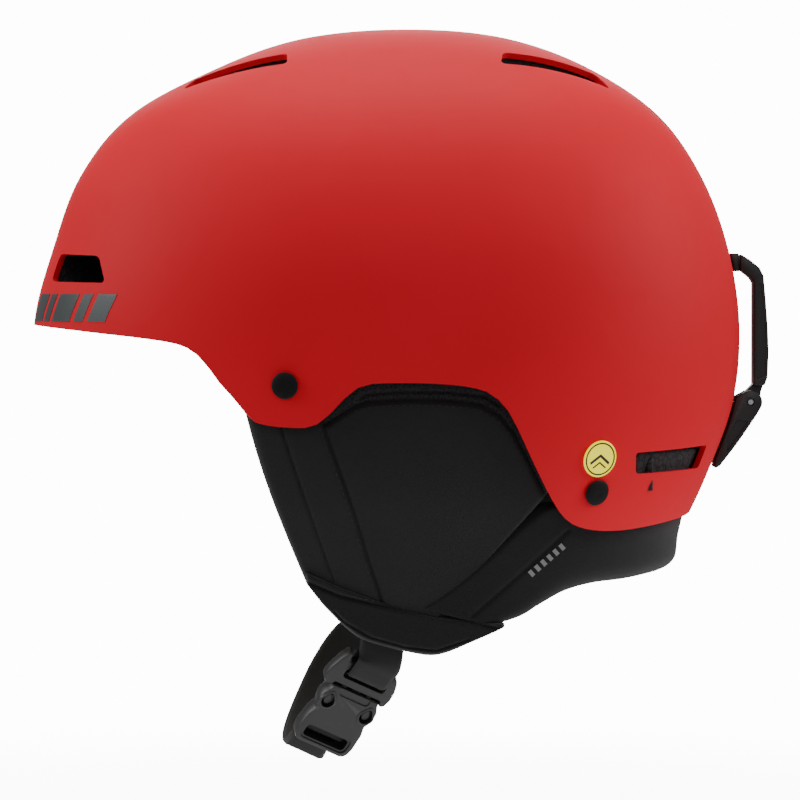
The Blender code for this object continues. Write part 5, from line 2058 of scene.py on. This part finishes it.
    def build_right(self) -> None:
        """The long webbing from the right pocket, under the chin, to the socket."""
        across, _, _ = self.axes()
        middle = Vector((-self.pivot[0], self.pivot[1], self.pivot[2]))
        path = [middle + Vector((0, 1.0, 4.0)), middle + Vector((0.1, -5.0, -4.6))]
        under_chin = (
            (-67.5, -14.0, -204.5), (-56.0, -21.5, -214.5), (-38.0, -27.2, -225.5), (-15.0, -31.0, -234.0),
            (8.0, -32.5, -238.8), (30.0, -31.8, -240.6),
        )
        bar_turns = (
            (-25.0, -7.8), (-20.5, -6.8), (-16.2, -6.2), (-14.4, -5.3), (-13.9, -3.9), (-13.9, -1.8),
            (-14.7, -0.75), (-17.0, -0.6),
        )
        path += [Vector(p) for p in under_chin] + [self.spot(0, a, n) for a, n in bar_turns]
        lean = Vector((0.15, 0.86, -0.5))
        wide = [
            Vector((0, 0.68, -0.73)), Vector((0, 0.68, -0.73)), Vector((0.1, 0.7, -0.7)),
            Vector((0.2, 0.8, -0.6)), lean,
        ]
        wide += [Vector((0, 0.9, -0.42)), Vector((-0.1, 0.9, -0.42)), Vector((-0.25, 0.87, -0.42))]
        wide += [across] * 8
        webbing = finished(
            "chin_webbing_right", Ribbon(path, wide, self.width, self.wall, 0.8, 12).mesh(), Finishes.WEBBING
        )
        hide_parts("chin_strap_right")
        start, end = path[1] * MM, path[7] * MM
        tuple(start)
        tuple(end)
        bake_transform(webbing)
        LOG.info("%s bends between the buckle's halves", webbing.name)

    def build_tail(self) -> None:
        """The cut end that comes out below the socket."""
        across, _, _ = self.axes()
        turns = ((-17.6, -2.3), (-18.0, -3.6), (-19.2, -4.5), (-21.5, -4.8), (-30.0, -5.4))
        path = [self.spot(0, a, n) for a, n in turns]
        tail = finished(
            "chin_webbing_tail", Ribbon(path, [across] * 5, self.width - 1.6, 0.9, 0.8, 12).mesh(),
            Finishes.WEBBING,
        )
        place_piece(tail, Body.STRAP_LOWER, Slot.WEBBING, "chin_strap_tail")

    def build(self) -> None:
        """Builds the strap and the buckle."""
        self.build_female()
        self.build_male()
        self.build_prongs()
        self.build_left()
        self.build_right()
        self.build_tail()


@dataclass
class CarriedOver:
    """CAD nodes that keep their shape and only get a finish."""

    finishes: dict[str, Finish] = field(
        default_factory=lambda: {"strap_anchor": Finishes.PLASTIC, "tether": Finishes.ELASTOMER}
    )

    def dress(self, nodes: dict[str, Object]) -> None:
        """Gives each such node its finish."""
        for name, node in nodes.items():
            for start, finish in self.finishes.items():
                if name.startswith(start):
                    node.data.materials.clear()
                    node.data.materials.append(finish.material())
                    LOG.info("%s keeps its shape", name)


# ---------------------------------------------------------------- stage
@dataclass
class Studio:
    """A pale floor that fades into a white surround, soft lamps and a camera on the helmet's left."""

    focus: tuple[float, float, float] = (0.0, 0.0054, -0.1074)
    distance: float = 2.2
    elevation: float = 1.2
    field_width: float = 0.3101
    floor: float = -0.262
    glow: float = 0.24
    wall_white: float = 14.0

    def add_lamp(
        self, name: str, place: Sequence[float], aim: Sequence[float], power: float, size: float
    ) -> None:
        """One square soft lamp."""
        data = bpy.data.lights.new(name, "AREA")
        data.energy, data.size, data.shape = power, size, "SQUARE"
        lamp = bpy.data.objects.new(name, data)
        lamp.location = place
        lamp.rotation_euler = (Vector(aim) - Vector(place)).to_track_quat("-Z", "Y").to_euler()
        bpy.context.scene.collection.objects.link(lamp)

    def add_camera(self) -> None:
        """A long lens from the wearer's left."""
        data = bpy.data.cameras.new("camera")
        data.sensor_width = 36.0
        data.lens = data.sensor_width * self.distance / self.field_width
        data.clip_end = 30.0
        camera = bpy.data.objects.new("camera", data)
        rise = math.radians(self.elevation)
        away = Vector((math.cos(rise), 0.0, math.sin(rise))) * self.distance
        camera.location = Vector(self.focus) + away
        camera.rotation_euler = (-away).to_track_quat("-Z", "Y").to_euler()
        bpy.context.scene.collection.objects.link(camera)
        bpy.context.scene.camera = camera

    def add_floor(self) -> None:
        """A wide plain floor."""
        bm = bmesh.new()
        bmesh.ops.create_grid(
            bm, x_segments=2, y_segments=2, size=6000.0, matrix=Matrix.Translation((0, 0, self.floor / MM))
        )
        floor = finished("floor", bm, FloorPaper("floor_paper", (0.93, 0.93, 0.93), 0.9))

    def build(self) -> None:
        """Builds the stage."""
        self.add_air()
        self.add_floor()
        self.add_camera()
        self.add_lamp("lamp_front", (0.15, -1.7, 0.75), (0, -0.05, -0.05), 20.0, 1.1)
        self.add_lamp("lamp_rear", (0.15, 1.7, 0.65), (0, 0.05, -0.05), 21.0, 1.1)
        self.add_lamp("lamp_top", (-0.25, 0.0, 1.7), (0, 0, 0), 27.0, 1.3)
        self.add_lamp("lamp_far", (-1.8, 0.0, 0.6), (0, 0, -0.05), 12.0, 1.2)
        self.add_lamp("lamp_near", (2.4, 0.3, 0.9), (0, 0, -0.1), 8.5, 1.2)

    def add_air(self) -> None:
        """A white surround that is much dimmer as a light than as a backdrop."""
        world = bpy.data.worlds.new("studio_air")
        world.use_nodes = True
        tree = world.node_tree
        glow, wall = tree.nodes["Background"], tree.nodes.new("ShaderNodeBackground")
        for node, strength in ((glow, self.glow), (wall, self.wall_white)):
            node.inputs["Color"].default_value = (1.0, 1.0, 1.0, 1.0)
            node.inputs["Strength"].default_value = strength
        choice = tree.nodes.new("ShaderNodeMixShader")
        tree.links.new(tree.nodes.new("ShaderNodeLightPath").outputs["Is Camera Ray"], choice.inputs[0])
        tree.links.new(glow.outputs[0], choice.inputs[1])
        tree.links.new(wall.outputs[0], choice.inputs[2])
        tree.links.new(choice.outputs[0], tree.nodes["World Output"].inputs["Surface"])
        bpy.context.scene.world = world


def main() -> None:
    """Builds the helmet round the frame."""
    logging.basicConfig(level=logging.INFO, format="%(message)s")
    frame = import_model()
    Studio().build()
    HardLayers().build()
    Fasteners().build()
    GoggleRetainer().build()
    EarPads().build()
    NeckRoll().build()
    StrapPockets().build()
    YokeStraps().build()
    ComfortPads().build()
    FitSystem().build()
    ChinStrap().build()
    CarriedOver().dress(frame["nodes"])


if __name__ == "__main__":
    main()
